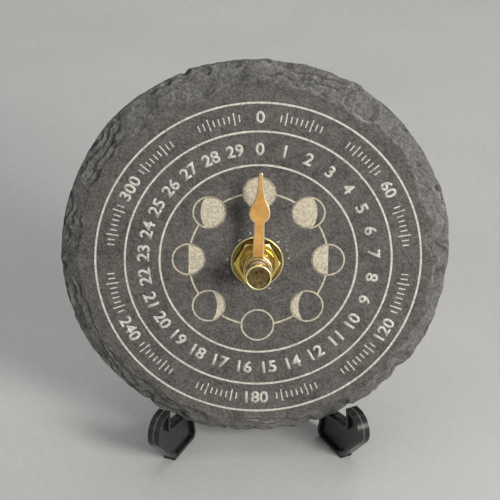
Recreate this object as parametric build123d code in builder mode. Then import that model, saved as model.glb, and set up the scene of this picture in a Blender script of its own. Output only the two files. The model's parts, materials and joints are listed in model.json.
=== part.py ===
from build123d import *
import math
import os

# Moon phase desk clock: a riven slate disc carries one slow hand that goes round the dial
# once in a lunar month. A battery movement hangs behind the slate, and the slate leans in
# a low easel stand whose two halves fold about a pin.
# Millimetres. +Z is up, the dial faces -Y, and the origin is below the middle of the clock.

# Slate disc
slate_diameter = 111.0
slate_thickness = 6.0
slate_lean = 11.0
rim_height = 1.8
bevel_width = 6.2
bevel_wander = 1.5
rim_chip = 0.7
chip_count = 44
slate_hole_gap = 0.4
slate_hole_drop = 2.2

# Brass hardware that clamps the movement to the slate
bushing_radius = 5.0
bushing_proud = 1.8
flange_radius = 6.8
flange_thickness = 1.0
washer_radius = 7.5
washer_thickness = 0.8
nut_across_flats = 11.5
nut_thickness = 1.6
nut_chamfer = 0.3
gasket_radius = 12.0
gasket_thickness = 1.0

# Fits: radial gap of pieces fixed together, and of pieces that turn in one another
fixed_gap = 0.05
running_gap = 0.05
end_shake = 0.2

# Hand, from the axis outwards, and the arbor that turns it
arbor_radius = 2.55
collar_radius = 3.7
collar_length = 2.9
collar_gap = 0.5
hub_radius = 4.1
hub_bore = 3.3
hand_thickness = 0.4
stem_width = 3.3
neck_width = 2.9
stem_length = 14.1
spade_width = 5.9
spade_rise = 2.6
cheek_width = 4.3
cheek_rise = 2.7
shoulder_width = 2.9
shoulder_rise = 4.5
needle_width = 1.5
needle_rise = 4.1
tip_width = 1.2
tip_rise = 3.34
hand_rest = 2.0
pipe_length = 4.4
cap_radius = 3.7
cap_length = 2.0
cap_chamfer = 0.45
stud_radius = 1.75
stud_length = 1.3
arbor_collar = 0.9
wheel_seat_radius = 2.0

# Movement case
case_wall = 1.2
case_corner = 4.0
case_chamfer = 0.8
front_wall = 1.6
cover_thickness = 1.6
cover_gap = 0.1
cover_step = 0.5
cover_border = 4.0
partition_wall = 0.8
corner_post_radius = 3.0
boss_radius = 1.6
boss_height = 1.7
rear_boss_height = 1.4
wheel_room = 0.6

# Battery and its bay
battery_diameter = 14.5
battery_length = 50.5
battery_edge = 0.6
nub_radius = 2.75
nub_length = 1.0
bay_floor = 0.7
bay_wall = 1.0
bay_gap = 0.25
bay_rear_room = 0.5
contact_room = 1.55
contact_thickness = 0.4
contact_width = 8.0
contact_gap = 0.15
strap_width = 2.0

# Gear train: hand wheel, third wheel, second wheel and rotor, and the setting gears
pressure_angle = 20.0
dedendum = 1.25
tooth_thinning = 0.05
pinion_teeth = 12
pinion_shift = 0.3
drive_teeth = 48
drive_module = 0.4
third_teeth = 36
third_module = 0.5
second_teeth = 59
second_module = 0.3
set_teeth = 30
set_pinion_teeth = 15
set_module = 0.5
set_shift = 0.15
third_bearing = 40.0
second_bearing = 140.0
rotor_bearing = 200.0
set_bearing = 205.0
drive_thickness = 1.2
third_thickness = 1.0
second_thickness = 0.8
set_thickness = 1.2
clutch_height = 0.6
clutch_gauge = 0.3
clutch_radius = 5.0
tooth_overhang = 0.4
level_gap = 0.4
pinion_arbor_radius = 0.8
pivot_radius = 0.5
pivot_length = 1.1

# Step motor and electronics
magnet_radius = 1.8
magnet_overhang = 0.3
magnet_gap = 0.5
stator_thickness = 1.0
stator_half_width = 4.0
stator_half_length = 9.3
arm_width = 3.6
coil_offset = 10.0
core_width = 3.0
core_thickness = 1.0
bobbin_wall = 0.5
bobbin_flange = 0.8
bobbin_half = 3.6
winding_half = 3.1
winding_corner = 1.4
stator_post_radius = 1.6
board_thickness = 0.8
board_gap = 0.4
board_width = 12.5
chip_radius = 2.8
chip_inset = 2.2
chip_height = 1.1
crystal_radius = 1.0
crystal_length = 6.0

# Setting knob on the back
knob_radius = 6.0
knob_thickness = 3.0
knob_gap = 0.3
knob_flutes = 16
flute_radius = 0.7
journal_radius = 1.5
stem_radius = 1.2

# Easel stand, measured along each half from the hinge axis and up from the desk
stand_splay = 26.2
plate_thickness = 3.6
plate_rim = 1.1
recess_depth = 0.9
seat_reach = 45.9
seat_height = 10.4
seat_gap = 0.25
ledge_slope = 10.0
notch_play = 4.2
notch_round = 1.5
hook_height = 6.2
hook_lean = 0.5
nose_depth = 7.3
nose_round = 5.3
pad_setback = 2.8
pad_step = 1.2
pad_lip = 0.6
pad_length = 14.6
heel_lean = 2.0
heel_round = 2.0
arch_height = 8.0
arch_flank = 2.0
arch_round = 2.2
rear_pad = 8.0
post_height = 19.0
post_depth = 6.0
upright_width = 5.5
upright_gap = 3.0
upright_round = 1.8
pin_radius = 1.25
pin_recess = 0.3
knuckle_wall = 1.75
knuckle_gap = 0.3
relief_gap = 0.4
knuckle_share = 0.29

# Stack along the dial's axis: zero is the slate's front face, and plus is towards the viewer
slate_back = -slate_thickness
case_front_z = slate_back - gasket_thickness
front_inner_z = case_front_z - front_wall
flange_rear_z = front_inner_z - flange_thickness
boss_face_z = front_inner_z - boss_height
nut_front_z = washer_thickness + nut_thickness
bushing_end_z = nut_front_z + bushing_proud
collar_rear_z = bushing_end_z + collar_gap
hand_rear_z = collar_rear_z + collar_length
hand_front_z = hand_rear_z + hand_thickness
cap_rear_z = hand_front_z + pipe_length
cap_front_z = cap_rear_z + cap_length

# Levels of the gear train behind the front wall
drive_front_z = min(flange_rear_z, boss_face_z) - level_gap - tooth_overhang
drive_rear_z = drive_front_z - drive_thickness
set_front_z = drive_rear_z - clutch_height
set_rear_z = set_front_z - set_thickness
arbor_rear_z = set_rear_z - level_gap
third_front_z = arbor_rear_z - level_gap
third_rear_z = third_front_z - third_thickness
second_front_z = third_rear_z - tooth_overhang - 2 * level_gap
second_rear_z = second_front_z - second_thickness
rotor_end_z = second_rear_z - tooth_overhang
stator_front_z = arbor_rear_z - level_gap
stator_rear_z = stator_front_z - stator_thickness
core_rear_z = stator_rear_z - core_thickness
coil_z = (stator_rear_z + core_rear_z) / 2
coil_rear_z = coil_z - bobbin_half

# Gear centres on the dial plane
drive_distance = drive_module * (drive_teeth + pinion_teeth) / 2
third_distance = third_module * (third_teeth + pinion_teeth) / 2
second_distance = second_module * (second_teeth + pinion_teeth) / 2
set_distance = set_module * (set_teeth + set_pinion_teeth) / 2


def stepped(start, distance, bearing):
    """Point at a distance and bearing, in degrees, from a start point."""
    turn = math.radians(bearing)
    return (start[0] + distance * math.cos(turn), start[1] + distance * math.sin(turn))


def tip_radius(module, teeth, shift):
    """Outside radius of a gear."""
    return module * (teeth / 2 + 1 + shift)


hand_at = (0.0, 0.0)
third_at = stepped(hand_at, drive_distance, third_bearing)
second_at = stepped(third_at, third_distance, second_bearing)
rotor_at = stepped(second_at, second_distance, rotor_bearing)
set_at = stepped(hand_at, set_distance, set_bearing)
coil_x = rotor_at[0] - coil_offset
arm_ys = tuple(
    rotor_at[1] + side * (stator_half_length - arm_width / 2) for side in (-1, 1)
)

# Case outline: square about the arbor, just large enough for the train and the battery bay
set_pinion_reach = -set_at[1] + tip_radius(set_module, set_pinion_teeth, set_shift)
drive_reach = tip_radius(drive_module, drive_teeth, -pinion_shift)
partition_top = -max(drive_reach, set_pinion_reach, flange_radius) - 2 * wheel_room
bay_top = partition_top - partition_wall
bay_bottom = bay_top - battery_diameter - 2 * bay_gap
train_top = second_at[1] + tip_radius(second_module, second_teeth, -pinion_shift)
train_right = third_at[0] + tip_radius(third_module, third_teeth, -pinion_shift)
train_left = -coil_x + bobbin_half
case_half = max(
    bay_wall - bay_bottom,
    battery_length / 2 + contact_room + case_wall,
    max(train_top, train_right, train_left) + wheel_room + case_wall,
)
inner_half = case_half - case_wall
train_depth = case_front_z - min(rotor_end_z - level_gap - rear_boss_height, coil_rear_z - level_gap)
bay_depth = bay_floor + bay_gap + battery_diameter + bay_rear_room
case_depth = max(bay_depth, train_depth + cover_thickness)
case_rear_z = case_front_z - case_depth
cover_inner_z = case_rear_z + cover_thickness
rear_boss_z = cover_inner_z + rear_boss_height
battery_y = (bay_top + bay_bottom) / 2
battery_z = case_front_z - bay_floor - bay_gap - battery_diameter / 2
knob_front_z = case_rear_z - knob_gap
knob_rear_z = knob_front_z - knob_thickness

# Where the slate stands: it leans on the easel's uprights and sits on its ledges
lean = math.radians(slate_lean)
splay = math.radians(stand_splay)
slate_radius = slate_diameter / 2
upright_slope = math.tan(lean) / math.cos(splay)
seat_depth = math.cos(lean) * math.cos(splay) * seat_reach + math.sin(lean) * seat_height
back_depth = seat_depth + seat_gap
touch_reach = (back_depth - math.sin(lean) * seat_height) / (math.cos(lean) * math.cos(splay))
touch_drop = math.sqrt(slate_radius**2 - (touch_reach * math.sin(splay)) ** 2) - slate_hole_drop
touch_height = seat_height + (touch_reach - seat_reach) * math.tan(math.radians(ledge_slope))
dial_z = touch_height + seat_gap + touch_drop * math.cos(lean) + slate_thickness * math.sin(lean)
dial_ahead = (back_depth + slate_thickness - math.sin(lean) * dial_z) / math.cos(lean)

# Front and back reach of the whole clock set the hinge's place, so that the origin is central
knuckle_radius = pin_radius + knuckle_wall
notch_length = (slate_thickness + notch_play) / (math.cos(lean) * math.cos(splay))
hook_reach = seat_reach + notch_length
nose_reach = hook_reach + nose_depth
front_reach = max(nose_reach * math.cos(splay), dial_ahead + cap_front_z * math.cos(lean))
knob_top = set_at[1] + knob_radius
back_reach = max(
    knuckle_radius,
    knob_top * math.sin(lean) - knob_rear_z * math.cos(lean) - dial_ahead,
    case_half * math.sin(lean) - case_rear_z * math.cos(lean) - dial_ahead,
)
hinge_y = (front_reach - back_reach) / 2
dial_y = hinge_y - dial_ahead

dial = Plane(
    origin=(0, dial_y, dial_z),
    x_dir=(1, 0, 0),
    z_dir=(0, -math.cos(lean), math.sin(lean)),
)


def dial_spot(x, y, z):
    """Place on the dial's axes: x to the right, y up the slate, z out of its face."""
    return dial.location * Location((x, y, z))


def section_at(spot):
    """Plane through a gear centre, with x across the dial and y along its axis."""
    return Plane(
        origin=dial_spot(spot[0], spot[1], 0).position,
        x_dir=dial.x_dir,
        z_dir=-dial.y_dir,
    )


def axis_at(spot):
    """Axis of a gear centre, out of the dial."""
    return Axis(dial_spot(spot[0], spot[1], 0).position, dial.z_dir)


def turned_face(points, spot=hand_at):
    """Half section, as (radius, z) points, of a piece turned about a gear centre."""
    with BuildSketch(section_at(spot)) as section_sketch:
        with BuildLine():
            Polyline(*points, close=True)
        make_face()
    return section_sketch.sketch


def turned_steps(steps):
    """Half section of a stepped shaft, from (radius, rear z, front z) steps, rear first."""
    points = [(0, steps[0][1])]
    for radius, rear, front in steps:
        points += [(radius, rear), (radius, front)]
    points.append((0, steps[-1][2]))
    return points


def gear_face(module, teeth, shift, spot, tooth_bearing, z):
    """Involute gear outline at depth z, with a tooth centred on the given bearing."""
    pressure = math.radians(pressure_angle)
    pitch = module * teeth / 2
    base = pitch * math.cos(pressure)
    tip = tip_radius(module, teeth, shift)
    root = pitch - module * (dedendum - shift)
    pitch_angle = (math.pi / 2 + 2 * shift * math.tan(pressure)) / teeth
    pitch_angle -= tooth_thinning / (2 * pitch)
    involute = math.tan(pressure) - pressure

    def half_angle(radius):
        """Half the angle that a tooth fills at a radius."""
        roll = math.acos(min(1.0, base / radius))
        return pitch_angle + involute - (math.tan(roll) - roll)

    start = max(root, base)
    flank = [(start, half_angle(start))]
    for radius in ((start + tip) / 2, tip):
        flank.append((radius, half_angle(radius)))
    if root < base:
        flank.insert(0, (root, half_angle(start)))
    points = []
    for tooth in range(teeth):
        centre = math.radians(tooth_bearing) + 2 * math.pi * tooth / teeth
        for side, edge in ((-1, flank), (1, reversed(flank))):
            for radius, angle in edge:
                turn = centre + side * angle
                points.append((radius * math.cos(turn), radius * math.sin(turn)))
    with BuildSketch(Plane(dial_spot(spot[0], spot[1], z))) as gear_sketch:
        with BuildLine():
            Polyline(*points, close=True)
        make_face()
    return gear_sketch.sketch


def dial_block(x_span, y_span, z_span, mode=Mode.ADD):
    """Rectangular block between limits on the dial's axes."""
    middle = [sum(span) / 2 for span in (x_span, y_span, z_span)]
    size = [span[1] - span[0] for span in (x_span, y_span, z_span)]
    with Locations(dial_spot(*middle)):
        Box(*size, mode=mode)


def dial_round(radius, spot, z_span, mode=Mode.ADD):
    """Cylinder along the dial's axis between two depths."""
    with Locations(dial_spot(spot[0], spot[1], sum(z_span) / 2)):
        Cylinder(radius, z_span[1] - z_span[0], mode=mode)


def finish(builder, label):
    """Name a finished piece and write it out."""
    builder.part.label = label
    export_step(builder.part, f"parts/{label}.step")


os.makedirs("parts", exist_ok=True)


# Slate disc: flat riven face, chipped bevel in front, plain rim behind, and the hand's hole
# a little below its middle
def chip_wave(angle, offset):
    """Uneven wave between 0 and 1 round the slate's edge."""
    slow = math.sin(5 * angle + 1.9 * offset)
    middle = math.sin(11 * angle + 0.7 + 3.1 * offset)
    quick = math.sin(19 * angle + 2.3 + 0.6 * offset)
    return 0.5 + 0.22 * slow + 0.16 * middle + 0.12 * quick


def slate_outline(z, inset, wander, offset):
    """Chipped outline of the slate at one depth."""
    points = []
    for chip in range(chip_count):
        angle = 2 * math.pi * chip / chip_count
        radius = slate_radius - inset - wander * chip_wave(angle, offset)
        points.append((radius * math.cos(angle), slate_hole_drop + radius * math.sin(angle)))
    with BuildSketch(dial.offset(z)) as outline_sketch:
        with BuildLine():
            Polyline(*points, close=True)
        make_face()
    return outline_sketch.sketch


bevel_inset = bevel_width - bevel_wander / 2
with BuildPart() as slate:
    back_outline = slate_outline(slate_back, 0, rim_chip, 0)
    rim_outline = slate_outline(slate_back + rim_height, 0, rim_chip, 1)
    face_outline = slate_outline(0, bevel_inset, bevel_wander, 2)
    loft([back_outline, rim_outline, face_outline], ruled=True)
    dial_round(bushing_radius + slate_hole_gap, hand_at, (2 * slate_back, slate_thickness), Mode.SUBTRACT)
finish(slate, "slate_dial")

# Rubber gasket between the slate and the movement
with BuildPart() as gasket:
    with BuildSketch(dial.offset(case_front_z)):
        Circle(gasket_radius)
        Circle(bushing_radius + fixed_gap, mode=Mode.SUBTRACT)
    extrude(amount=gasket_thickness)
finish(gasket, "rubber_gasket")

# Washer under the nut, with its front edge eased
with BuildPart() as washer:
    with BuildSketch(dial):
        Circle(washer_radius)
        Circle(bushing_radius + fixed_gap, mode=Mode.SUBTRACT)
    extrude(amount=washer_thickness)
    outer_edges = washer.edges().filter_by(GeomType.CIRCLE).sort_by(SortBy.RADIUS)[-2:]
    chamfer(outer_edges.sort_by(axis_at(hand_at))[-1], washer_thickness / 4)
finish(washer, "brass_washer")

# Hexagon nut with its front corners turned off
with BuildPart() as nut:
    with BuildSketch(dial.offset(washer_thickness)):
        RegularPolygon(nut_across_flats / 2, 6, major_radius=False)
        Circle(bushing_radius + fixed_gap, mode=Mode.SUBTRACT)
    extrude(amount=nut_thickness)
    corner_radius = nut_across_flats / math.sqrt(3)
    turned_corner = turned_face(
        [
            (0, washer_thickness),
            (corner_radius, washer_thickness),
            (corner_radius, nut_front_z - nut_chamfer),
            (corner_radius - 2 * nut_chamfer, nut_front_z),
            (0, nut_front_z),
        ]
    )
    revolve(turned_corner, axis=axis_at(hand_at), mode=Mode.INTERSECT)
finish(nut, "hex_nut")

# Threaded bushing: flanged inside the case, through the slate, with an eased front end
with BuildPart() as bushing:
    bore_radius = arbor_radius + running_gap
    end_ease = (bushing_radius - bore_radius) / 3
    bushing_section = turned_face(
        [
            (bore_radius, flange_rear_z),
            (flange_radius, flange_rear_z),
            (flange_radius, front_inner_z),
            (bushing_radius, front_inner_z),
            (bushing_radius, bushing_end_z - end_ease),
            (bushing_radius - end_ease, bushing_end_z),
            (bore_radius, bushing_end_z),
        ]
    )
    revolve(bushing_section, axis=axis_at(hand_at))
finish(bushing, "threaded_bushing")

# Hand: a sheet spade with a round hub, and a collar behind the hub
spade_y = stem_length + spade_rise
shoulder_y = spade_y + shoulder_rise
needle_y = shoulder_y + needle_rise
hand_length = needle_y + tip_rise
with BuildPart() as hand:
    with BuildSketch(Plane(dial.offset(hand_rear_z).location * Rotation(0, 0, -hand_rest))):
        with BuildLine():
            Line((0, 0), (stem_width / 2, 0))
            Line((stem_width / 2, 0), (neck_width / 2, stem_length))
            RadiusArc((neck_width / 2, stem_length), (spade_width / 2, spade_y), -spade_width / 2)
            Spline(
                (spade_width / 2, spade_y),
                (cheek_width / 2, spade_y + cheek_rise),
                (shoulder_width / 2, shoulder_y),
                (needle_width / 2, needle_y),
                tangents=((0, 1), ((tip_width - needle_width) / 2, tip_rise)),
            )
            Line((needle_width / 2, needle_y), (tip_width / 2, hand_length - tip_width / 2))
            RadiusArc((tip_width / 2, hand_length - tip_width / 2), (0, hand_length), -tip_width / 2)
            mirror(about=Plane.YZ)
        make_face()
        Circle(hub_radius)
    extrude(amount=hand_thickness)
    dial_round(collar_radius, hand_at, (collar_rear_z, hand_rear_z))
    dial_round(arbor_radius + fixed_gap, hand_at, (collar_rear_z, hand_rear_z), Mode.SUBTRACT)
    dial_round(hub_bore, hand_at, (hand_rear_z, hand_front_z), Mode.SUBTRACT)
finish(hand, "moon_hand")

# Arbor: stud for the cap, pipe through hand and bushing, collar, then the wheels' seat
with BuildPart() as arbor:
    arbor_section = turned_face(
        turned_steps(
            [
                (wheel_seat_radius, arbor_rear_z, drive_front_z),
                (arbor_radius + arbor_collar, drive_front_z, flange_rear_z - end_shake),
                (arbor_radius, flange_rear_z - end_shake, cap_rear_z),
                (stud_radius, cap_rear_z, cap_rear_z + stud_length),
            ]
        )
    )
    revolve(arbor_section, axis=axis_at(hand_at))
finish(arbor, "hand_arbor")

# Cap that screws on the arbor's stud and closes it
with BuildPart() as cap:
    stud_bore = stud_radius + fixed_gap
    cap_section = turned_face(
        [
            (stud_bore, cap_rear_z),
            (cap_radius, cap_rear_z),
            (cap_radius, cap_front_z - cap_chamfer),
            (cap_radius - cap_chamfer, cap_front_z),
            (0, cap_front_z),
            (0, cap_rear_z + stud_length + end_shake),
            (stud_bore, cap_rear_z + stud_length + end_shake),
        ]
    )
    revolve(cap_section, axis=axis_at(hand_at))
finish(cap, "cap_nut")

# Wheels on the hand's arbor: driven wheel, clutch spring and setting wheel
seat_bore = wheel_seat_radius + fixed_gap
with BuildPart() as drive_wheel:
    teeth_face = gear_face(drive_module, drive_teeth, -pinion_shift, hand_at, third_bearing, drive_rear_z)
    extrude(teeth_face, amount=drive_thickness)
    dial_round(seat_bore, hand_at, (drive_rear_z, drive_front_z), Mode.SUBTRACT)
finish(drive_wheel, "drive_wheel")

with BuildPart() as clutch:
    clutch_section = turned_face(
        [
            (seat_bore, set_front_z),
            (seat_bore, set_front_z + clutch_gauge),
            (clutch_radius, drive_rear_z),
            (clutch_radius, drive_rear_z - clutch_gauge),
        ]
    )
    revolve(clutch_section, axis=axis_at(hand_at))
finish(clutch, "clutch_spring")

with BuildPart() as set_wheel:
    set_face = gear_face(set_module, set_teeth, -set_shift, hand_at, set_bearing, set_rear_z)
    extrude(set_face, amount=set_thickness)
    dial_round(seat_bore, hand_at, (set_rear_z, set_front_z), Mode.SUBTRACT)
finish(set_wheel, "set_wheel")

# Third and second wheels: each is one moulding of wheel, pinion, arbor and pivots
arbor_front_z = boss_face_z - end_shake
arbor_back_z = rear_boss_z + end_shake
train_steps = [
    (pivot_radius, arbor_back_z - pivot_length, arbor_back_z),
    (pinion_arbor_radius, arbor_back_z, arbor_front_z),
    (pivot_radius, arbor_front_z, arbor_front_z + pivot_length),
]
gap_turn = 180 + 180 / pinion_teeth
with BuildPart() as third_wheel:
    revolve(turned_face(turned_steps(train_steps), third_at), axis=axis_at(third_at))
    pinion_rear_z = drive_rear_z - tooth_overhang
    leaves = gear_face(
        drive_module, pinion_teeth, pinion_shift, third_at, third_bearing + gap_turn, pinion_rear_z
    )
    extrude(leaves, amount=drive_thickness + 2 * tooth_overhang)
    wheel = gear_face(third_module, third_teeth, -pinion_shift, third_at, second_bearing, third_rear_z)
    extrude(wheel, amount=third_thickness)
finish(third_wheel, "third_wheel")

with BuildPart() as second_wheel:
    revolve(turned_face(turned_steps(train_steps), second_at), axis=axis_at(second_at))
    pinion_rear_z = third_rear_z - tooth_overhang
    leaves = gear_face(
        third_module, pinion_teeth, pinion_shift, second_at, second_bearing + gap_turn, pinion_rear_z
    )
    extrude(leaves, amount=third_thickness + 2 * tooth_overhang)
    wheel = gear_face(second_module, second_teeth, -pinion_shift, second_at, rotor_bearing, second_rear_z)
    extrude(wheel, amount=second_thickness)
finish(second_wheel, "second_wheel")

# Rotor: a pinion with a long spindle, and a ring magnet on it inside the stator
magnet_rear_z = stator_rear_z - magnet_overhang
magnet_front_z = stator_front_z + magnet_overhang
with BuildPart() as rotor_pinion:
    revolve(turned_face(turned_steps(train_steps), rotor_at), axis=axis_at(rotor_at))
    leaves = gear_face(
        second_module, pinion_teeth, pinion_shift, rotor_at, rotor_bearing + gap_turn, rotor_end_z
    )
    extrude(leaves, amount=second_thickness + 2 * tooth_overhang)
finish(rotor_pinion, "rotor_pinion")

with BuildPart() as magnet:
    dial_round(magnet_radius, rotor_at, (magnet_rear_z, magnet_front_z))
    dial_round(pinion_arbor_radius + fixed_gap, rotor_at, (magnet_rear_z, magnet_front_z), Mode.SUBTRACT)
finish(magnet, "rotor_magnet")

# Stator: a flat C of soft iron round the rotor, whose two arms carry the coil's core
with BuildPart() as stator:
    with BuildSketch(Plane(dial_spot(rotor_at[0], rotor_at[1], stator_rear_z))):
        Rectangle(2 * stator_half_width, 2 * stator_half_length)
        for arm_y in arm_ys:
            with Locations((-coil_offset / 2, arm_y - rotor_at[1])):
                Rectangle(coil_offset + core_width + arm_width, arm_width)
        Circle(magnet_radius + magnet_gap, mode=Mode.SUBTRACT)
    extrude(amount=stator_thickness)
finish(stator, "stator")

# Coil: iron core across the arms, moulded bobbin and its copper winding
core_half = stator_half_length - running_gap
bobbin_span = stator_half_length - arm_width - level_gap
core_bore = (core_width + 2 * fixed_gap, core_thickness + 2 * fixed_gap)
tube_size = (core_bore[0] + 2 * bobbin_wall, core_bore[1] + 2 * bobbin_wall)
coil_plane = Plane(
    origin=dial_spot(coil_x, rotor_at[1], coil_z).position, x_dir=dial.x_dir, z_dir=-dial.y_dir
)
with BuildPart() as core:
    with BuildSketch(coil_plane):
        Rectangle(core_width, core_thickness)
    extrude(amount=core_half, both=True)
finish(core, "coil_core")

with BuildPart() as bobbin:
    with BuildSketch(coil_plane):
        Rectangle(*tube_size)
    extrude(amount=bobbin_span, both=True)
    for end in (bobbin_flange - bobbin_span, bobbin_span):
        with BuildSketch(coil_plane.offset(end)):
            RectangleRounded(2 * bobbin_half, 2 * bobbin_half, bobbin_flange)
        extrude(amount=-bobbin_flange)
    with BuildSketch(coil_plane):
        Rectangle(*core_bore)
    extrude(amount=bobbin_span, both=True, mode=Mode.SUBTRACT)
finish(bobbin, "coil_bobbin")

with BuildPart() as winding:
    with BuildSketch(coil_plane):
        RectangleRounded(2 * winding_half, 2 * winding_half, winding_corner)
        Rectangle(tube_size[0] + 2 * fixed_gap, tube_size[1] + 2 * fixed_gap, mode=Mode.SUBTRACT)
    extrude(amount=bobbin_span - bobbin_flange - fixed_gap, both=True)
finish(winding, "coil_winding")

# Circuit board on the front wall, with the driver under its blob and the quartz can
post_inset = inner_half - corner_post_radius + case_wall / 2
board_span = (partition_top + board_gap, post_inset - corner_post_radius - board_gap)
board_left = -inner_half + board_gap
board_right = board_left + board_width
board_rear_z = front_inner_z - board_thickness
with BuildPart() as board:
    dial_block((board_left, board_right), board_span, (board_rear_z, front_inner_z))
    for arm_y in arm_ys:
        dial_round(
            stator_post_radius + board_gap / 2,
            (coil_x, arm_y),
            (board_rear_z, front_inner_z),
            Mode.SUBTRACT,
        )
finish(board, "circuit_board")

chip_at = (board_left + chip_radius + chip_inset, board_span[0] + chip_radius + chip_inset)
with BuildPart() as chip:
    dial_round(chip_radius, chip_at, (board_rear_z - chip_height, board_rear_z))
    fillet(chip.edges().sort_by(axis_at(hand_at))[0], chip_height / 2)
finish(chip, "driver_chip")

crystal_at = (chip_at[0], chip_at[1] + chip_radius + 2 * crystal_radius)
with BuildPart() as crystal:
    can_centre = dial_spot(crystal_at[0], crystal_at[1], board_rear_z - crystal_radius - fixed_gap)
    with BuildSketch(Plane(origin=can_centre.position, x_dir=dial.y_dir, z_dir=dial.x_dir)):
        Circle(crystal_radius)
    extrude(amount=crystal_length / 2, both=True)
    fillet(crystal.edges(), crystal_radius / 4)
finish(crystal, "quartz_crystal")

# Case front: square tray with the train's room above and the battery bay below
bearing_spots = (third_at, second_at, rotor_at, set_at)
bay_floor_z = case_front_z - bay_floor
with BuildPart() as case_front:
    with BuildSketch(dial.offset(case_rear_z)):
        RectangleRounded(2 * case_half, 2 * case_half, case_corner)
    extrude(amount=case_depth)
    chamfer(case_front.faces().sort_by(axis_at(hand_at))[-1].edges(), case_chamfer)
    dial_block(
        (-inner_half, inner_half), (partition_top, inner_half), (case_rear_z, front_inner_z), Mode.SUBTRACT
    )
    dial_block((-inner_half, inner_half), (bay_bottom, bay_top), (case_rear_z, bay_floor_z), Mode.SUBTRACT)
    for side in (-1, 1):
        dial_round(corner_post_radius, (side * post_inset, post_inset), (cover_inner_z, front_inner_z))
    for arm_y in arm_ys:
        dial_round(stator_post_radius, (coil_x, arm_y), (stator_front_z, front_inner_z))
    for spot in bearing_spots:
        dial_round(boss_radius, spot, (boss_face_z, front_inner_z))
        hole_floor_z = arbor_front_z + pivot_length + end_shake
        dial_round(pivot_radius + running_gap, spot, (boss_face_z, hole_floor_z), Mode.SUBTRACT)
    dial_block((-inner_half, inner_half), (bay_top, inner_half), (case_rear_z, cover_inner_z), Mode.SUBTRACT)
    for side in (-1, 1):
        slot_ends = sorted((side * inner_half, side * (inner_half - 2 * strap_width)))
        slot_depths = (front_inner_z - 2 * strap_width, front_inner_z)
        dial_block(slot_ends, (bay_top, partition_top), slot_depths, Mode.SUBTRACT)
    dial_round(bushing_radius + fixed_gap, hand_at, (front_inner_z, case_front_z), Mode.SUBTRACT)
finish(case_front, "case_front")

# Rear cover: closes the train's room, carries the rear bearings and the knob's journal
cover_span = (bay_top + cover_gap, inner_half - cover_gap)
cover_middle = sum(cover_span) / 2
cover_size = (2 * (inner_half - cover_gap), cover_span[1] - cover_span[0])
with BuildPart() as rear_cover:
    with BuildSketch(Plane(dial_spot(0, cover_middle, case_rear_z))):
        Rectangle(*cover_size)
    extrude(amount=cover_thickness)
    with BuildSketch(Plane(dial_spot(0, cover_middle, case_rear_z))):
        RectangleRounded(*cover_size, cover_border / 2)
        RectangleRounded(
            cover_size[0] - 2 * cover_border,
            cover_size[1] - 2 * cover_border,
            cover_border / 2,
            mode=Mode.SUBTRACT,
        )
    extrude(amount=cover_step, mode=Mode.SUBTRACT)
    for spot in (third_at, second_at, rotor_at):
        dial_round(boss_radius, spot, (cover_inner_z, rear_boss_z))
        hole_floor_z = arbor_back_z - pivot_length - end_shake
        dial_round(pivot_radius + running_gap, spot, (hole_floor_z, rear_boss_z), Mode.SUBTRACT)
    dial_round(2 * journal_radius, set_at, (cover_inner_z, rear_boss_z))
    dial_round(journal_radius + running_gap, set_at, (case_rear_z, rear_boss_z), Mode.SUBTRACT)
finish(rear_cover, "rear_cover")

# Setting knob: fluted grip, journal through the cover, stem and front pivot
with BuildPart() as set_knob:
    with BuildSketch(Plane(dial_spot(set_at[0], set_at[1], knob_rear_z))):
        Circle(knob_radius)
        with PolarLocations(knob_radius + flute_radius / 3, knob_flutes):
            Circle(flute_radius, mode=Mode.SUBTRACT)
    extrude(amount=knob_thickness)
    stem_front_z = set_front_z + tooth_overhang / 2
    stem_section = turned_face(
        turned_steps(
            [
                (journal_radius, knob_front_z, rear_boss_z),
                (stem_radius, rear_boss_z, stem_front_z),
                (pivot_radius, stem_front_z, arbor_front_z + pivot_length),
            ]
        ),
        set_at,
    )
    revolve(stem_section, axis=axis_at(set_at))
finish(set_knob, "set_knob")

with BuildPart() as set_pinion:
    set_gap_turn = 180 + 180 / set_pinion_teeth
    pinion_rear_z = set_rear_z - tooth_overhang / 2
    leaves = gear_face(
        set_module, set_pinion_teeth, set_shift, set_at, set_bearing + set_gap_turn, pinion_rear_z
    )
    extrude(leaves, amount=set_thickness + tooth_overhang)
    dial_round(stem_radius + fixed_gap, set_at, (pinion_rear_z, stem_front_z), Mode.SUBTRACT)
finish(set_pinion, "set_pinion")

# Battery: one AA cell on its side
with BuildPart() as battery:
    cell_end = dial_spot(-battery_length / 2, battery_y, battery_z)
    cell_plane = Plane(origin=cell_end.position, x_dir=dial.y_dir, z_dir=dial.x_dir)
    with BuildSketch(cell_plane):
        Circle(battery_diameter / 2)
    extrude(amount=battery_length - nub_length)
    fillet(battery.edges().filter_by(GeomType.CIRCLE), battery_edge)
    with BuildSketch(cell_plane.offset(battery_length - nub_length)):
        Circle(nub_radius)
    extrude(amount=nub_length)
finish(battery, "battery")

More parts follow.
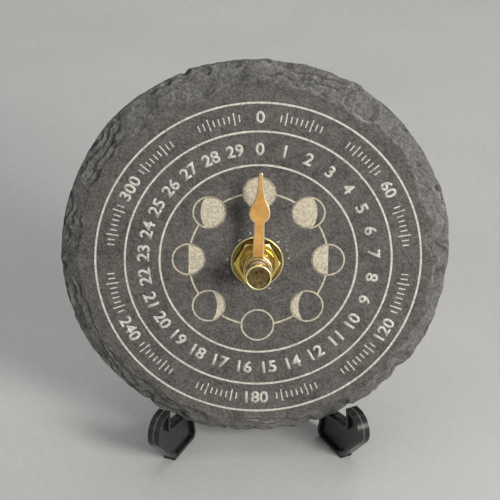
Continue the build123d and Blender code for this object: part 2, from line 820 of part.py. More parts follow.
# Battery contacts: a leaf at each end of the bay with a tail through the partition, and a
# strap along the front wall from the plus side to the board
leaf_z = (battery_z - contact_width / 2, battery_z + contact_width / 2)
tail_z = (front_inner_z - 2 * strap_width + running_gap, front_inner_z)
tail_end_y = partition_top + board_gap + strap_width
bump_length = inner_half - battery_length / 2 - contact_thickness - contact_gap
for label, side in (("battery_contact_plus", 1), ("battery_contact_minus", -1)):
    outer_x = side * inner_half
    inner_x = side * (inner_half - contact_thickness)
    leaf_x = sorted((outer_x, inner_x))
    with BuildPart() as contact:
        dial_block(leaf_x, (bay_bottom + bay_gap, bay_top - bay_gap), (leaf_z[0], max(leaf_z[1], tail_z[1])))
        dial_block(leaf_x, (bay_top - bay_gap, tail_end_y), tail_z)
        bump_base = dial_spot(inner_x, battery_y, battery_z)
        with BuildSketch(Plane(origin=bump_base.position, x_dir=dial.y_dir, z_dir=-side * dial.x_dir)):
            Circle(nub_radius)
        extrude(amount=bump_length, taper=30)
        if side > 0:
            strap_x = (board_right + running_gap, outer_x)
            strap_z = (front_inner_z - contact_thickness, front_inner_z)
        else:
            strap_x = (outer_x, board_left + strap_width)
            strap_z = (board_rear_z - contact_thickness, board_rear_z)
        dial_block(strap_x, (tail_end_y - strap_width, tail_end_y), strap_z)
    finish(contact, label)

# Easel stand: two halves, mirror images, hinged on a pin at the back
case_foot = dial_z - case_half * math.cos(lean) + case_rear_z * math.sin(lean)
upright_top = case_foot - upright_gap
upright_reach = seat_reach - (upright_top - seat_height) * upright_slope
hook_foot = seat_height + notch_length * math.tan(math.radians(ledge_slope))
hook_top = hook_foot + hook_height
pad_front = hook_reach - pad_setback
nose_foot = (pad_front + pad_lip, pad_step)
nose_centre = (nose_reach - nose_round, hook_top - nose_round)
nose_run = (nose_foot[0] - nose_centre[0], nose_foot[1] - nose_centre[1])
nose_turn = math.atan2(nose_run[1], nose_run[0]) + math.acos(nose_round / math.hypot(*nose_run))
nose_low = stepped(nose_centre, nose_round, math.degrees(nose_turn))
pad_rear = pad_front - pad_length
arch_front = pad_rear + heel_lean
arch_rear = rear_pad + arch_flank
rear_top = upright_reach - upright_width
lower_knuckle = knuckle_share * post_height
upper_knuckle = (1 - knuckle_share) * post_height
left_knuckles = ((0, lower_knuckle), (upper_knuckle, post_height))
right_knuckles = ((lower_knuckle + knuckle_gap, upper_knuckle - knuckle_gap),)
middle_zone = ((lower_knuckle, upper_knuckle),)
outer_zones = ((0, lower_knuckle + knuckle_gap), (upper_knuckle - knuckle_gap, post_height))

halves = (
    ("stand_left", -1, left_knuckles, middle_zone, fixed_gap),
    ("stand_right", 1, right_knuckles, outer_zones, running_gap),
)
for label, side, knuckles, relieved, pin_gap in halves:
    half_plane = Plane(
        origin=(0, hinge_y, 0),
        x_dir=(side * math.sin(splay), -math.cos(splay), 0),
        z_dir=(-math.cos(splay), -side * math.sin(splay), 0),
    )
    outward = -side
    with BuildPart() as half:
        with BuildSketch(half_plane) as outline:
            with BuildLine():
                Line((pad_rear, 0), (pad_front, 0))
                Line((pad_front, 0), (pad_front, pad_step))
                Line((pad_front, pad_step), nose_foot)
                Line(nose_foot, nose_low)
                ThreePointArc(nose_low, (nose_reach, nose_centre[1]), (nose_centre[0], hook_top))
                Line((nose_centre[0], hook_top), (hook_reach - hook_lean, hook_top))
                Line((hook_reach - hook_lean, hook_top), (hook_reach, hook_foot))
                Line((hook_reach, hook_foot), (seat_reach, seat_height))
                Line((seat_reach, seat_height), (upright_reach, upright_top))
                Line((upright_reach, upright_top), (rear_top, upright_top))
                Line((rear_top, upright_top), (post_depth, post_height))
                Line((post_depth, post_height), (0, post_height))
                Line((0, post_height), (0, 0))
                Line((0, 0), (rear_pad, 0))
                Line((rear_pad, 0), (arch_rear, arch_height))
                Line((arch_rear, arch_height), (arch_front, arch_height))
                Line((arch_front, arch_height), (pad_rear, 0))
            make_face()
            arch_corners = outline.vertices().filter_by(lambda v: abs(v.Y - arch_height) < 1e-6)
            fillet(arch_corners, arch_round)
            heel_corner = outline.vertices().filter_by(lambda v: math.hypot(v.X - pad_rear, v.Y) < 1e-6)
            fillet(heel_corner, heel_round)
            top_corners = outline.vertices().filter_by(lambda v: abs(v.Y - upright_top) < 1e-6)
            fillet(top_corners, upright_round)
            notch_corner = outline.vertices().filter_by(lambda v: abs(v.X - hook_reach) < 1e-6)
            fillet(notch_corner, notch_round)
        extrude(amount=outward * plate_thickness)
        for face_plane, depth in (
            (half_plane, outward * recess_depth),
            (half_plane.offset(outward * plate_thickness), -outward * recess_depth),
        ):
            with BuildSketch(face_plane):
                add(outline.sketch_local)
                offset(amount=-plate_rim, kind=Kind.INTERSECTION, mode=Mode.REPLACE)
            extrude(amount=depth, mode=Mode.SUBTRACT)
        for low, high in relieved:
            with Locations((0, hinge_y, (low + high) / 2)):
                Cylinder(knuckle_radius + relief_gap, high - low, mode=Mode.SUBTRACT)
        for low, high in knuckles:
            with Locations((0, hinge_y, (low + high) / 2)):
                Cylinder(knuckle_radius, high - low)
                Cylinder(pin_radius + pin_gap, high - low, mode=Mode.SUBTRACT)
    finish(half, label)

with BuildPart() as pin:
    with Locations((0, hinge_y, post_height / 2)):
        Cylinder(pin_radius, post_height - 2 * pin_recess)
    chamfer(pin.edges().filter_by(GeomType.CIRCLE), pin_radius / 5)
finish(pin, "stand_hinge_pin")
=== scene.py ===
"""Looks of the moon phase desk clock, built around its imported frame.

A riven slate dial with an engraved moon calendar, brass fittings and one spade hand, a battery movement
behind it and a black folding easel under it. Pieces are modelled in millimetres on the bench and put in
place in metres.
"""

import json
import logging
import math
from contextlib import contextmanager
from dataclasses import dataclass, field
from enum import Enum
from typing import Callable, Dict, Iterator, List, Optional, Sequence, Tuple, Union

import bpy
import bmesh
import numpy as np
from mathutils import Matrix, Vector


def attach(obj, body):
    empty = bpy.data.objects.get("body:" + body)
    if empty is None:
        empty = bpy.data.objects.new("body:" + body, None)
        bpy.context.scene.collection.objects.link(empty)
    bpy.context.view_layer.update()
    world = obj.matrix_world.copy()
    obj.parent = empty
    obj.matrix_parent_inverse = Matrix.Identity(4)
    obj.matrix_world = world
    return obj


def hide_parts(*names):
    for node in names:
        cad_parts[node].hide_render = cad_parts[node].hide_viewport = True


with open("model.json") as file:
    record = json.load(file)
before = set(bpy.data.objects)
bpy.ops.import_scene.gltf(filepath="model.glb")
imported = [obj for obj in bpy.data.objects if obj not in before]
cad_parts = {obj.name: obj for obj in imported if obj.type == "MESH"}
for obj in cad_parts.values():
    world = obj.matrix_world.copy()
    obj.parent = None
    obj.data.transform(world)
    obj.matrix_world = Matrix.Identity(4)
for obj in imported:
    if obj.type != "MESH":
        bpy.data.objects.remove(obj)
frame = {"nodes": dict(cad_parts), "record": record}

LOG = logging.getLogger("moon_clock")
MM = 0.001
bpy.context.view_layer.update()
FINE_MERGE = 1e-4
COARSE_MERGE = 1e-3
SKIN = 1e-3

Triple = Tuple[float, float, float]
Colour = Triple
Corner = Tuple[float, float]
Span = Tuple[float, float]
Piece = bpy.types.Object
Socket = bpy.types.NodeSocket
Tone = Union[Colour, Socket]
FaceTest = Callable[[bmesh.types.BMFace], bool]
FaceChoice = Callable[[bpy.types.MeshPolygon], int]


class Body(str, Enum):
    """The bodies of the frame that new pieces ride on."""

    STAND_LEFT = "stand_left"
    STAND_RIGHT = "stand_right"
    CLOCK = "clock"
    HAND = "hand"
    KNOB = "set_knob"
    BATTERY = "battery"


class Slot(str, Enum):
    """The record's finishes, one named for each new piece."""

    SLATE = "slate"
    BRASS = "brass"
    HAND_GOLD = "hand_gold"
    STEEL = "steel"
    CASE = "case_plastic"
    KNOB = "knob_plastic"
    BATTERY = "battery_jacket"
    STAND = "stand_plastic"


class LitSide(Enum):
    """The side of a moon that is lit, as the sign of x on the dial."""

    LEFT = -1
    RIGHT = 1


class Phase(Enum):
    """How far the lit part of a moon reaches past its middle, as a share of its radius."""

    DARK = -1.0
    CRESCENT = -0.5
    HALF = 0.0
    GIBBOUS = 0.52
    WHOLE = 1.0


class StoneGrain(Enum):
    """The slate's noises: number, size of the largest features in mm, and finer layers."""

    FACE = (0, 16.0, 2)
    WANDER = (1, 8.0, 3)
    TILT = (2, 9.0, 4)
    BARED = (4, 11.0, 2)
    ROUGH = (5, 2.6, 4)
    JAGGED = (7, 24.0, 2)
    WALL = (8, 2.2, 3)
    RIM = (9, 2.6, 4)
    SHOVE = (10, 5.0, 4)
    SLIP = (11, 5.0, 4)


def smooth_step(value: np.ndarray, low: float, high: float) -> np.ndarray:
    """Eases from 0 at low to 1 at high."""
    share = np.clip((value - low) / (high - low), 0.0, 1.0)
    return share * share * (3.0 - 2.0 * share)


@dataclass(frozen=True)
class StoneNoise:
    """Smooth noise over the dial's plane that is the same on every run.

    Attributes:
        seed: which noise it is.
        grain: size of its largest features in mm.
        octaves: how many finer layers it adds.
        primes: large odd numbers that scramble column, row, seed and result.
        word: the largest scrambled number.
        layer_step: change of seed from layer to layer.
    """

    seed: int
    grain: float
    octaves: int
    primes: Tuple[int, int, int, int] = (374761393, 668265263, 144665, 1274126177)
    word: int = 0xFFFFFFFF
    layer_step: int = 31

    def lattice(self, column: np.ndarray, row: np.ndarray, layer: int) -> np.ndarray:
        """Scrambles whole-number places to values between -1 and 1.

        Args:
            column: whole numbers along x.
            row: whole numbers along y.
            layer: which octave is asked for.

        Returns:
            One value for each place.
        """
        by_column, by_row, by_seed, by_result = self.primes
        mixed = column.astype(np.int64) * by_column + row.astype(np.int64) * by_row
        mixed = (mixed + (self.seed + self.layer_step * layer) * by_seed) & self.word
        mixed = ((mixed ^ (mixed >> 13)) * by_result) & self.word
        return (mixed ^ (mixed >> 16)) / (self.word >> 1) - 1.0

    def layer(self, x: np.ndarray, y: np.ndarray, number: int) -> np.ndarray:
        """One octave of the noise.

        Args:
            x: places in lattice steps.
            y: places in lattice steps.
            number: which octave it is.

        Returns:
            Values between -1 and 1.
        """
        column, row = np.floor(x), np.floor(y)
        across = smooth_step(x - column, 0.0, 1.0)
        along = smooth_step(y - row, 0.0, 1.0)
        low, high = (
            self.lattice(column, level, number) * (1 - across)
            + self.lattice(column + 1, level, number) * across
            for level in (row, row + 1)
        )
        return low * (1 - along) + high * along

    def at(self, x: np.ndarray, y: np.ndarray) -> np.ndarray:
        """The noise at places on the dial.

        Args:
            x: places across the dial in mm.
            y: places up the dial in mm.

        Returns:
            Values of about -1 to 1.
        """
        total = np.zeros_like(np.asarray(x, float))
        for number in range(self.octaves):
            step = self.grain / 2**number
            total = total + self.layer(np.asarray(x) / step, np.asarray(y) / step, number) / 2**number
        return total / (2.0 - 0.5 ** (self.octaves - 1))


class DialFrame:
    """Where the dial stands: its centre on the slate's front face, x right, y up the face, z out of it."""

    def __init__(self, record: dict) -> None:
        """Takes the hand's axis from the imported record.

        Args:
            record: the record that came with the frame.
        """
        turn = next(j for j in record["behaviour"]["joints"] if j["name"] == "hand_turn")
        self.centre = Vector(turn["pos_m"])
        self.outward = -Vector(turn["axis"]).normalized()

    def matrix(self) -> Matrix:
        """The move from the dial's own millimetres to the frame's metres.

        Returns:
            The matrix of that move.
        """
        right = Vector((1.0, 0.0, 0.0))
        turn = Matrix((right, self.outward.cross(right), self.outward)).transposed().to_4x4()
        return Matrix.Translation(self.centre) @ turn @ Matrix.Scale(MM, 4)

    def spots(self, node: str) -> np.ndarray:
        """The points of a CAD node along the dial's own axes, in mm."""
        back = self.matrix().inverted()
        return np.array([back @ v.co for v in frame["nodes"][node].data.vertices])

    def span(self, node: str) -> Tuple[Vector, Vector]:
        """Lowest and highest corner of a CAD node along the dial's own axes, in mm."""
        spots = self.spots(node)
        return Vector(spots.min(axis=0)), Vector(spots.max(axis=0))

    def reach(self, node: str) -> float:
        """Greatest radius about the hand's axis of what a CAD node has in front of the slate, in mm."""
        return max(math.hypot(x, y) for x, y, z in self.spots(node) if z > 0.0)


DIAL = DialFrame(frame["record"])
FRAME_PLACE = Matrix.Scale(MM, 4)


class Bench:
    """The modelling bench: steps made with Blender's own operators, one piece at a time."""

    @staticmethod
    def clear() -> None:
        """Leaves edit mode and deselects everything."""
        if bpy.context.mode != "OBJECT":
            bpy.ops.object.mode_set(mode="OBJECT")
        bpy.ops.object.select_all(action="DESELECT")

    @staticmethod
    def only(piece: Piece) -> None:
        """Selects one piece and makes it the active one.

        Args:
            piece: the piece.
        """
        Bench.clear()
        piece.select_set(True)
        bpy.context.view_layer.objects.active = piece

    @staticmethod
    @contextmanager
    def editing(piece: Piece) -> Iterator[None]:
        """Holds a piece in edit mode with all of it selected.

        Args:
            piece: the piece to edit.

        Yields:
            Nothing; the piece is in edit mode meanwhile.
        """
        Bench.only(piece)
        bpy.ops.object.mode_set(mode="EDIT")
        bpy.ops.mesh.select_mode(type="VERT")
        bpy.ops.mesh.select_all(action="SELECT")
        yield
        bpy.ops.object.mode_set(mode="OBJECT")

    @staticmethod
    def named(name: str) -> Piece:
        """Names the piece that an operator has just added.

        Args:
            name: name of the piece and its mesh.

        Returns:
            The piece.
        """
        piece = bpy.context.object
        piece.name = piece.data.name = name
        return piece

    @staticmethod
    def pick(piece: Piece, test: FaceTest) -> int:
        """Selects the faces that pass a test, in edit mode.

        Args:
            piece: the piece in edit mode.
            test: says of a face whether it is wanted.

        Returns:
            How many faces are selected.
        """
        bpy.ops.mesh.select_mode(type="FACE")
        bpy.ops.mesh.select_all(action="DESELECT")
        shape = bmesh.from_edit_mesh(piece.data)
        count = 0
        for face in shape.faces:
            wanted = test(face)
            face.select_set(wanted)
            count += int(wanted)
        bmesh.update_edit_mesh(piece.data)
        return count

    @staticmethod
    def points(mesh: bpy.types.Mesh) -> np.ndarray:
        """The points of a mesh.

        Args:
            mesh: the mesh.

        Returns:
            Rows of x, y and z.
        """
        spots = np.empty(len(mesh.vertices) * 3)
        mesh.vertices.foreach_get("co", spots)
        return spots.reshape(-1, 3)

    @staticmethod
    def moved(mesh: bpy.types.Mesh, spots: np.ndarray) -> None:
        """Moves the points of a mesh to new places, given as rows of x, y and z."""
        mesh.vertices.foreach_set("co", spots.ravel())
        mesh.update()

    @staticmethod
    def turned(name: str, section: Sequence[Corner], steps: int) -> Piece:
        """Turns a section about the z axis, as on a lathe.

        Args:
            name: name of the new piece.
            section: corners as (radius, height), one round of the outline or an outline from axis to axis.
            steps: faces round the turn.

        Returns:
            The turned piece, closed.
        """
        Bench.clear()
        bpy.ops.mesh.primitive_plane_add(size=1.0)
        piece = Bench.named(name)
        corners = list(section)
        if min(corners[0][0], corners[-1][0]) > 0:
            corners.append(corners[0])
        with Bench.editing(piece):
            bpy.ops.mesh.merge(type="CENTER")
            bpy.ops.transform.translate(value=(corners[0][0], 0.0, corners[0][1]))
            for here, there in zip(corners, corners[1:]):
                step = (there[0] - here[0], 0.0, there[1] - here[1])
                bpy.ops.mesh.extrude_region_move(TRANSFORM_OT_translate={"value": step})
            bpy.ops.mesh.select_all(action="SELECT")
            bpy.ops.mesh.spin(steps=steps, angle=2 * math.pi, center=(0, 0, 0), axis=(0, 0, 1))
        with Bench.editing(piece):
            bpy.ops.mesh.remove_doubles(threshold=FINE_MERGE)
            bpy.ops.mesh.normals_make_consistent(inside=False)
        return piece

    @staticmethod
    def copy_node(name: str, node: str, place: Matrix) -> Piece:
        """Copies a CAD node's mesh to the bench, with its points merged and its flats whole.

        Args:
            name: name of the new piece.
            node: the CAD node to copy.
            place: the move from the bench to the frame.

        Returns:
            The copy, in bench millimetres.
        """
        mesh = frame["nodes"][node].data.copy()
        mesh.materials.clear()
        mesh.transform(place.inverted())
        piece = bpy.data.objects.new(name, mesh)
        mesh.name = name
        bpy.context.scene.collection.objects.link(piece)
        with Bench.editing(piece):
            bpy.ops.mesh.remove_doubles(threshold=COARSE_MERGE)
            bpy.ops.mesh.dissolve_limited(angle_limit=math.radians(0.6))
        return piece

    @staticmethod
    def modified(piece: Piece, kind: str, **settings: object) -> None:
        """Adds one modifier and applies it.

        Args:
            piece: the piece to change.
            kind: the modifier's type.
            **settings: the modifier's own values.
        """
        Bench.only(piece)
        bpy.ops.object.modifier_add(type=kind)
        modifier = piece.modifiers[-1]
        for key, value in settings.items():
            setattr(modifier, key, value)
        bpy.ops.object.modifier_apply(modifier=modifier.name)

    @staticmethod
    def rounded(piece: Piece, width: float, segments: int = 2, angle: float = 30.0) -> None:
        """Rounds the edges of a piece that are sharper than some degrees; the width is in mm."""
        edges = {"limit_method": "ANGLE", "angle_limit": math.radians(angle)}
        Bench.modified(piece, "BEVEL", width=width, segments=segments, **edges)

    @staticmethod
    def thickened(piece: Piece, depth: float) -> None:
        """Turns a flat sheet's faces up and gives it a thickness.

        Args:
            piece: a sheet in the dial's plane.
            depth: thickness in mm, added upwards.
        """
        with Bench.editing(piece):
            if Bench.pick(piece, lambda face: face.normal.z < 0):
                bpy.ops.mesh.flip_normals()
        Bench.modified(piece, "SOLIDIFY", thickness=depth, offset=1.0)

    @staticmethod
    def joined(name: str, pieces: Sequence[Piece]) -> Piece:
        """Joins pieces into one.

        Args:
            name: name of the whole.
            pieces: what is joined.

        Returns:
            The whole.
        """
        Bench.clear()
        for piece in pieces:
            piece.select_set(True)
        bpy.context.view_layer.objects.active = pieces[0]
        bpy.ops.object.join()
        return Bench.named(name)

    @staticmethod
    def smooth(piece: Piece, angle: float) -> None:
        """Shades a piece smooth, except across edges sharper than some degrees."""
        Bench.only(piece)
        bpy.ops.object.shade_smooth_by_angle(angle=math.radians(angle))

    @staticmethod
    def crisp(piece: Piece, angle: float) -> None:
        """Shades a piece smooth over its rounded edges and keeps its flats flat."""
        Bench.smooth(piece, angle)
        Bench.modified(piece, "WEIGHTED_NORMAL", keep_sharp=True)


class NodeSheet:
    """One material's nodes, with short ways to add and join them."""

    def __init__(self, name: str) -> None:
        """Starts a material with one shader.

        Args:
            name: name of the material.
        """
        self.material = bpy.data.materials.new(name)
        self.material.use_nodes = True
        self.nodes = self.material.node_tree.nodes
        self.links = self.material.node_tree.links
        self.shader = self.nodes["Principled BSDF"]
        self.place = self.nodes.new("ShaderNodeTexCoord").outputs["Object"]

    def set(self, **values: float) -> None:
        """Sets the shader's own sockets; underscores in a name stand for spaces."""
        for key, value in values.items():
            self.shader.inputs[key.replace("_", " ")].default_value = value

    def mapped(self, stretch: Triple, turn: Triple) -> Socket:
        """Object coordinates, turned and then stretched.

        Args:
            stretch: scale along each axis.
            turn: turn about each axis in degrees.

        Returns:
            The mapped coordinates.
        """
        node = self.nodes.new("ShaderNodeMapping")
        node.vector_type = "TEXTURE"
        node.inputs["Rotation"].default_value = [math.radians(a) for a in turn]
        node.inputs["Scale"].default_value = stretch
        self.links.new(self.place, node.inputs["Vector"])
        return node.outputs["Vector"]

    def noise(
        self, size: float, detail: float, rough: float = 0.55, place: Optional[Socket] = None
    ) -> Socket:
        """Noise with features of a given size.

        Args:
            size: feature size in mm.
            detail: finer layers.
            rough: weight of the finer layers.
            place: coordinates, or the object's own.

        Returns:
            Values of about 0 to 1.
        """
        node = self.nodes.new("ShaderNodeTexNoise")
        node.inputs["Scale"].default_value = 1.0 / (size * MM)
        node.inputs["Detail"].default_value = detail
        node.inputs["Roughness"].default_value = rough
        self.links.new(place or self.place, node.inputs["Vector"])
        return node.outputs["Fac"]

    def attribute(self, name: str) -> Socket:
        """A number kept on the piece's own points.

        Args:
            name: name of the attribute.

        Returns:
            The number.
        """
        node = self.nodes.new("ShaderNodeAttribute")
        node.attribute_name = name
        return node.outputs["Fac"]

    def span(self, value: Socket, low: float, high: float, start: float = 0.0, end: float = 1.0) -> Socket:
        """Maps values from one range to another, held at its ends.

        Args:
            value: what is mapped.
            low: value that gives start.
            high: value that gives end.
            start: result at low.
            end: result at high.

        Returns:
            The mapped values.
        """
        node = self.nodes.new("ShaderNodeMapRange")
        for key, number in (("From Min", low), ("From Max", high), ("To Min", start), ("To Max", end)):
            node.inputs[key].default_value = number
        self.links.new(value, node.inputs["Value"])
        return node.outputs["Result"]

    def combined(self, operation: str, first: Socket, second: Socket) -> Socket:
        """Two values taken together by one operation of the math node.

        Args:
            operation: the operation's name.
            first: a value.
            second: another value.

        Returns:
            The result.
        """
        node = self.nodes.new("ShaderNodeMath")
        node.operation = operation
        self.links.new(first, node.inputs[0])
        self.links.new(second, node.inputs[1])
        return node.outputs["Value"]

    def times(self, first: Socket, second: Socket) -> Socket:
        """The product of two values."""
        return self.combined("MULTIPLY", first, second)

    def plus(self, first: Socket, second: Socket) -> Socket:
        """The sum of two values."""
        return self.combined("ADD", first, second)

    def mix(self, share: Socket, first: Tone, second: Tone) -> Socket:
        """Blends two colours.

        Args:
            share: how much of the second colour shows.
            first: a colour or a socket.
            second: a colour or a socket.

        Returns:
            The blended colour.
        """
        node = self.nodes.new("ShaderNodeMix")
        node.data_type = "RGBA"
        self.links.new(share, node.inputs[0])
        for socket, colour in ((node.inputs[6], first), (node.inputs[7], second)):
            if isinstance(colour, tuple):
                socket.default_value = (*colour, 1.0)
            else:
                self.links.new(colour, socket)
        return node.outputs[2]

    def paint(self, colour: Socket) -> None:
        """Gives the shader its colour."""
        self.links.new(colour, self.shader.inputs["Base Color"])

    def roughen(self, value: Socket) -> None:
        """Gives the shader its roughness."""
        self.links.new(value, self.shader.inputs["Roughness"])

    def bump(self, height: Socket, depth: float) -> None:
        """Gives the shader fine relief.

        Args:
            height: values of about 0 to 1.
            depth: height of 1 in mm.
        """
        node = self.nodes.new("ShaderNodeBump")
        node.inputs["Distance"].default_value = depth * MM
        node.inputs["Strength"].default_value = 1.0
        self.links.new(height, node.inputs["Height"])
        self.links.new(node.outputs["Normal"], self.shader.inputs["Normal"])


@dataclass(frozen=True)
class Finish:
    """A surface finish, made into a material once.

    Attributes:
        name: name of the material.
    """

    name: str

    def dress(self, sheet: NodeSheet) -> None:
        """Fills in the material's nodes."""
        raise NotImplementedError

    def material(self) -> bpy.types.Material:
        """The finish as a material, made on first use.

        Returns:
            The material.
        """
        found = bpy.data.materials.get(self.name)
        if found:
            return found
        sheet = NodeSheet(self.name)
        self.dress(sheet)
        return sheet.material


@dataclass(frozen=True)
class GrainFinish(Finish):
    """Metal, plastic, rubber or floor with a fine grain.

    Attributes:
        dark: colour in the low spots of the grain.
        light: colour in its high spots.
        grain: size of the grain in mm.
        rough: lowest and highest roughness.
        metallic: 1 for metal.
        relief: depth of the fine relief in mm.
        cloud: size of the slow change of tone in mm.
        sheen: strength of the clear reflection on what is no metal.
    """

    dark: Colour
    light: Colour
    grain: float
    rough: Span
    metallic: float
    relief: float
    cloud: float = 7.0
    sheen: float = 0.5

    def dress(self, sheet: NodeSheet) -> None:
        """Tone from slow clouds and grain, gloss from the clouds and relief from the grain.

        Args:
            sheet: the material's nodes.
        """
        grain = sheet.noise(self.grain, 3.0)
        cloud = sheet.noise(self.cloud, 3.0)
        tone = sheet.plus(*(sheet.span(noise, 0.35, 0.65, 0.0, 0.5) for noise in (grain, cloud)))
        sheet.paint(sheet.mix(tone, self.dark, self.light))
        sheet.roughen(sheet.span(cloud, 0.3, 0.7, *self.rough))
        sheet.set(Metallic=self.metallic, Specular_IOR_Level=self.sheen)
        sheet.bump(grain, self.relief)


@dataclass(frozen=True)
class SlateFinish(Finish):
    """Riven slate: streaked mottled face, paler fresh chips, wear and painted highlight on crests, painted
    shade in creases, pale flecks.

    Attributes:
        dark: colour of the face in its dark clouds.
        light: colour of the face in its light clouds.
        chip_dark: colour of fresh chips in the low spots.
        chip_light: colour of fresh chips in the high spots.
        crest: colour of crests, paled by wear and by painted highlight.
        crease: painted shade in the creases between layers.
        fleck: colour of the small pale flecks.
        relief: depth of the grain's relief in mm.
    """

    dark: Colour = (0.026, 0.024, 0.022)
    light: Colour = (0.160, 0.152, 0.142)
    chip_dark: Colour = (0.050, 0.049, 0.048)
    chip_light: Colour = (0.200, 0.196, 0.188)
    crest: Colour = (0.340, 0.335, 0.320)
    crease: Colour = (0.020, 0.019, 0.018)
    fleck: Colour = (0.520, 0.510, 0.480)
    relief: float = 0.2

    def dress(self, sheet: NodeSheet) -> None:
        """Layers of tone over the stone, with fine relief.

        Args:
            sheet: the material's nodes.
        """
        streaked = sheet.mapped((1.0, 1.0, 0.6), (0.0, 40.0, 0.0))
        split_place = sheet.mapped((1.0, 1.0, 0.4), (0.0, -35.0, 0.0))
        cloud = sheet.span(sheet.noise(12.0, 5.0), 0.3, 0.7, 0.0, 0.18)
        mottle = sheet.span(sheet.noise(3.0, 3.0), 0.34, 0.66, 0.0, 0.22)
        grain = sheet.noise(0.85, 3.0, 0.6, streaked)
        tone = sheet.plus(sheet.plus(cloud, mottle), sheet.span(grain, 0.37, 0.63, 0.0, 0.6))
        chip = sheet.attribute("chip")
        face = sheet.mix(tone, self.dark, self.light)
        stone = sheet.mix(chip, face, sheet.mix(tone, self.chip_dark, self.chip_light))
        patch = sheet.noise(3.0, 4.0, 0.7)
        marks = sheet.span(sheet.noise(2.2, 5.0, 0.75, split_place), 0.55, 0.74, 0.0, 0.6)
        # crests are paled for wear and painted highlight, and the chips' pale marks join them
        worn_and_highlit = sheet.times(sheet.attribute("crest"), sheet.span(patch, 0.46, 0.68, 0.0, 0.7))
        worn_and_highlit = sheet.plus(worn_and_highlit, sheet.times(chip, marks))
        stone = sheet.mix(sheet.span(worn_and_highlit, 0.0, 1.0), stone, self.crest)
        # creases are darkened here: painted shade where the stone folds in
        split = sheet.times(sheet.attribute("crease"), sheet.span(patch, 0.34, 0.56, 0.9, 0.35))
        stone = sheet.mix(split, stone, self.crease)
        scuffs = sheet.span(sheet.noise(1.1, 2.0, 0.5), 0.64, 0.67)
        flecks = sheet.span(sheet.noise(0.6, 2.0, 0.5), 0.78, 0.81)
        flecks = sheet.plus(flecks, sheet.times(sheet.attribute("scuff"), scuffs))
        sheet.paint(sheet.mix(sheet.span(flecks, 0.0, 1.0), stone, self.fleck))
        sheet.roughen(sheet.span(grain, 0.3, 0.7, 0.62, 0.84))
        sheet.set(Specular_IOR_Level=0.4)
        sheet.bump(grain, self.relief)


@dataclass(frozen=True)
class EngravedFinish(Finish):
    """Stone burnt pale by the engraver, mottled and matte.

    Attributes:
        dark: colour where the stone shows through.
        light: colour of the well burnt stone.
        relief: depth of the mottle's relief in mm.
    """

    dark: Colour = (0.30, 0.265, 0.20)
    light: Colour = (0.64, 0.575, 0.445)
    relief: float = 0.04

    def dress(self, sheet: NodeSheet) -> None:
        """Pale mottled tone with a little relief.

        Args:
            sheet: the material's nodes.
        """
        mottle = sheet.noise(0.65, 3.0, 0.6)
        sheet.paint(sheet.mix(sheet.span(mottle, 0.28, 0.62), self.dark, self.light))
        sheet.roughen(sheet.span(mottle, 0.3, 0.7, 0.8, 0.95))
        sheet.set(Specular_IOR_Level=0.25)
        sheet.bump(mottle, self.relief)


@dataclass(frozen=True)
class WoundFinish(Finish):
    """Enamelled wire wound in close turns.

    Attributes:
        dark: colour between the turns, painted shade.
        light: colour on the turns.
        wire: diameter of the wire in mm.
    """

    dark: Colour = (0.20, 0.07, 0.03)
    light: Colour = (0.78, 0.36, 0.18)
    wire: float = 0.25

    def dress(self, sheet: NodeSheet) -> None:
        """Bands across the coil, as relief and as colour with painted shade between the turns.

        Args:
            sheet: the material's nodes.
        """
        wave = sheet.nodes.new("ShaderNodeTexWave")
        wave.bands_direction = "Z"
        # the node's bands repeat every pi / (10 * scale)
        wave.inputs["Scale"].default_value = math.pi / (10.0 * self.wire * MM)
        wave.inputs["Distortion"].default_value = 0.6
        sheet.links.new(sheet.place, wave.inputs["Vector"])
        bands = wave.outputs["Fac"]
        # the dark bands between the turns are painted shade
        sheet.paint(sheet.mix(bands, self.dark, self.light))
        sheet.roughen(sheet.span(bands, 0.0, 1.0, 0.45, 0.25))
        sheet.set(Metallic=0.8)
        sheet.bump(bands, self.wire / 4)


@dataclass(frozen=True)
class SeamFinish(GrainFinish):
    """A moulding with a fine parting line round the middle of its edge.

    Attributes:
        across: direction through the moulding's thickness.
        middle: how far along it the parting line lies, in mm from the frame's origin.
        seam: width of the line in mm.
        line: colour of the line.
    """

    across: Triple = (1.0, 0.0, 0.0)
    middle: float = 0.0
    seam: float = 0.35
    line: Colour = (0.10, 0.10, 0.10)

    def dress(self, sheet: NodeSheet) -> None:
        """The grain, with the parting line drawn over it.

        Args:
            sheet: the material's nodes.
        """
        super().dress(sheet)
        place = sheet.nodes.new("ShaderNodeVectorMath")
        place.operation = "DOT_PRODUCT"
        place.inputs[1].default_value = self.across
        sheet.links.new(sheet.place, place.inputs[0])
        near = sheet.nodes.new("ShaderNodeMath")
        near.operation = "COMPARE"
        near.inputs[1].default_value = self.middle * MM
        near.inputs[2].default_value = self.seam / 2 * MM
        sheet.links.new(place.outputs["Value"], near.inputs[0])
        plain = sheet.shader.inputs["Base Color"].links[0].from_socket
        sheet.paint(sheet.mix(sheet.span(near.outputs["Value"], 0.0, 1.0), plain, self.line))


SLATE = SlateFinish("riven_slate")
ENGRAVED = EngravedFinish("engraved_slate")
ENGRAVED_LINE = EngravedFinish("engraved_line", (0.33, 0.31, 0.27), (0.70, 0.675, 0.605))
COPPER = WoundFinish("wound_copper")

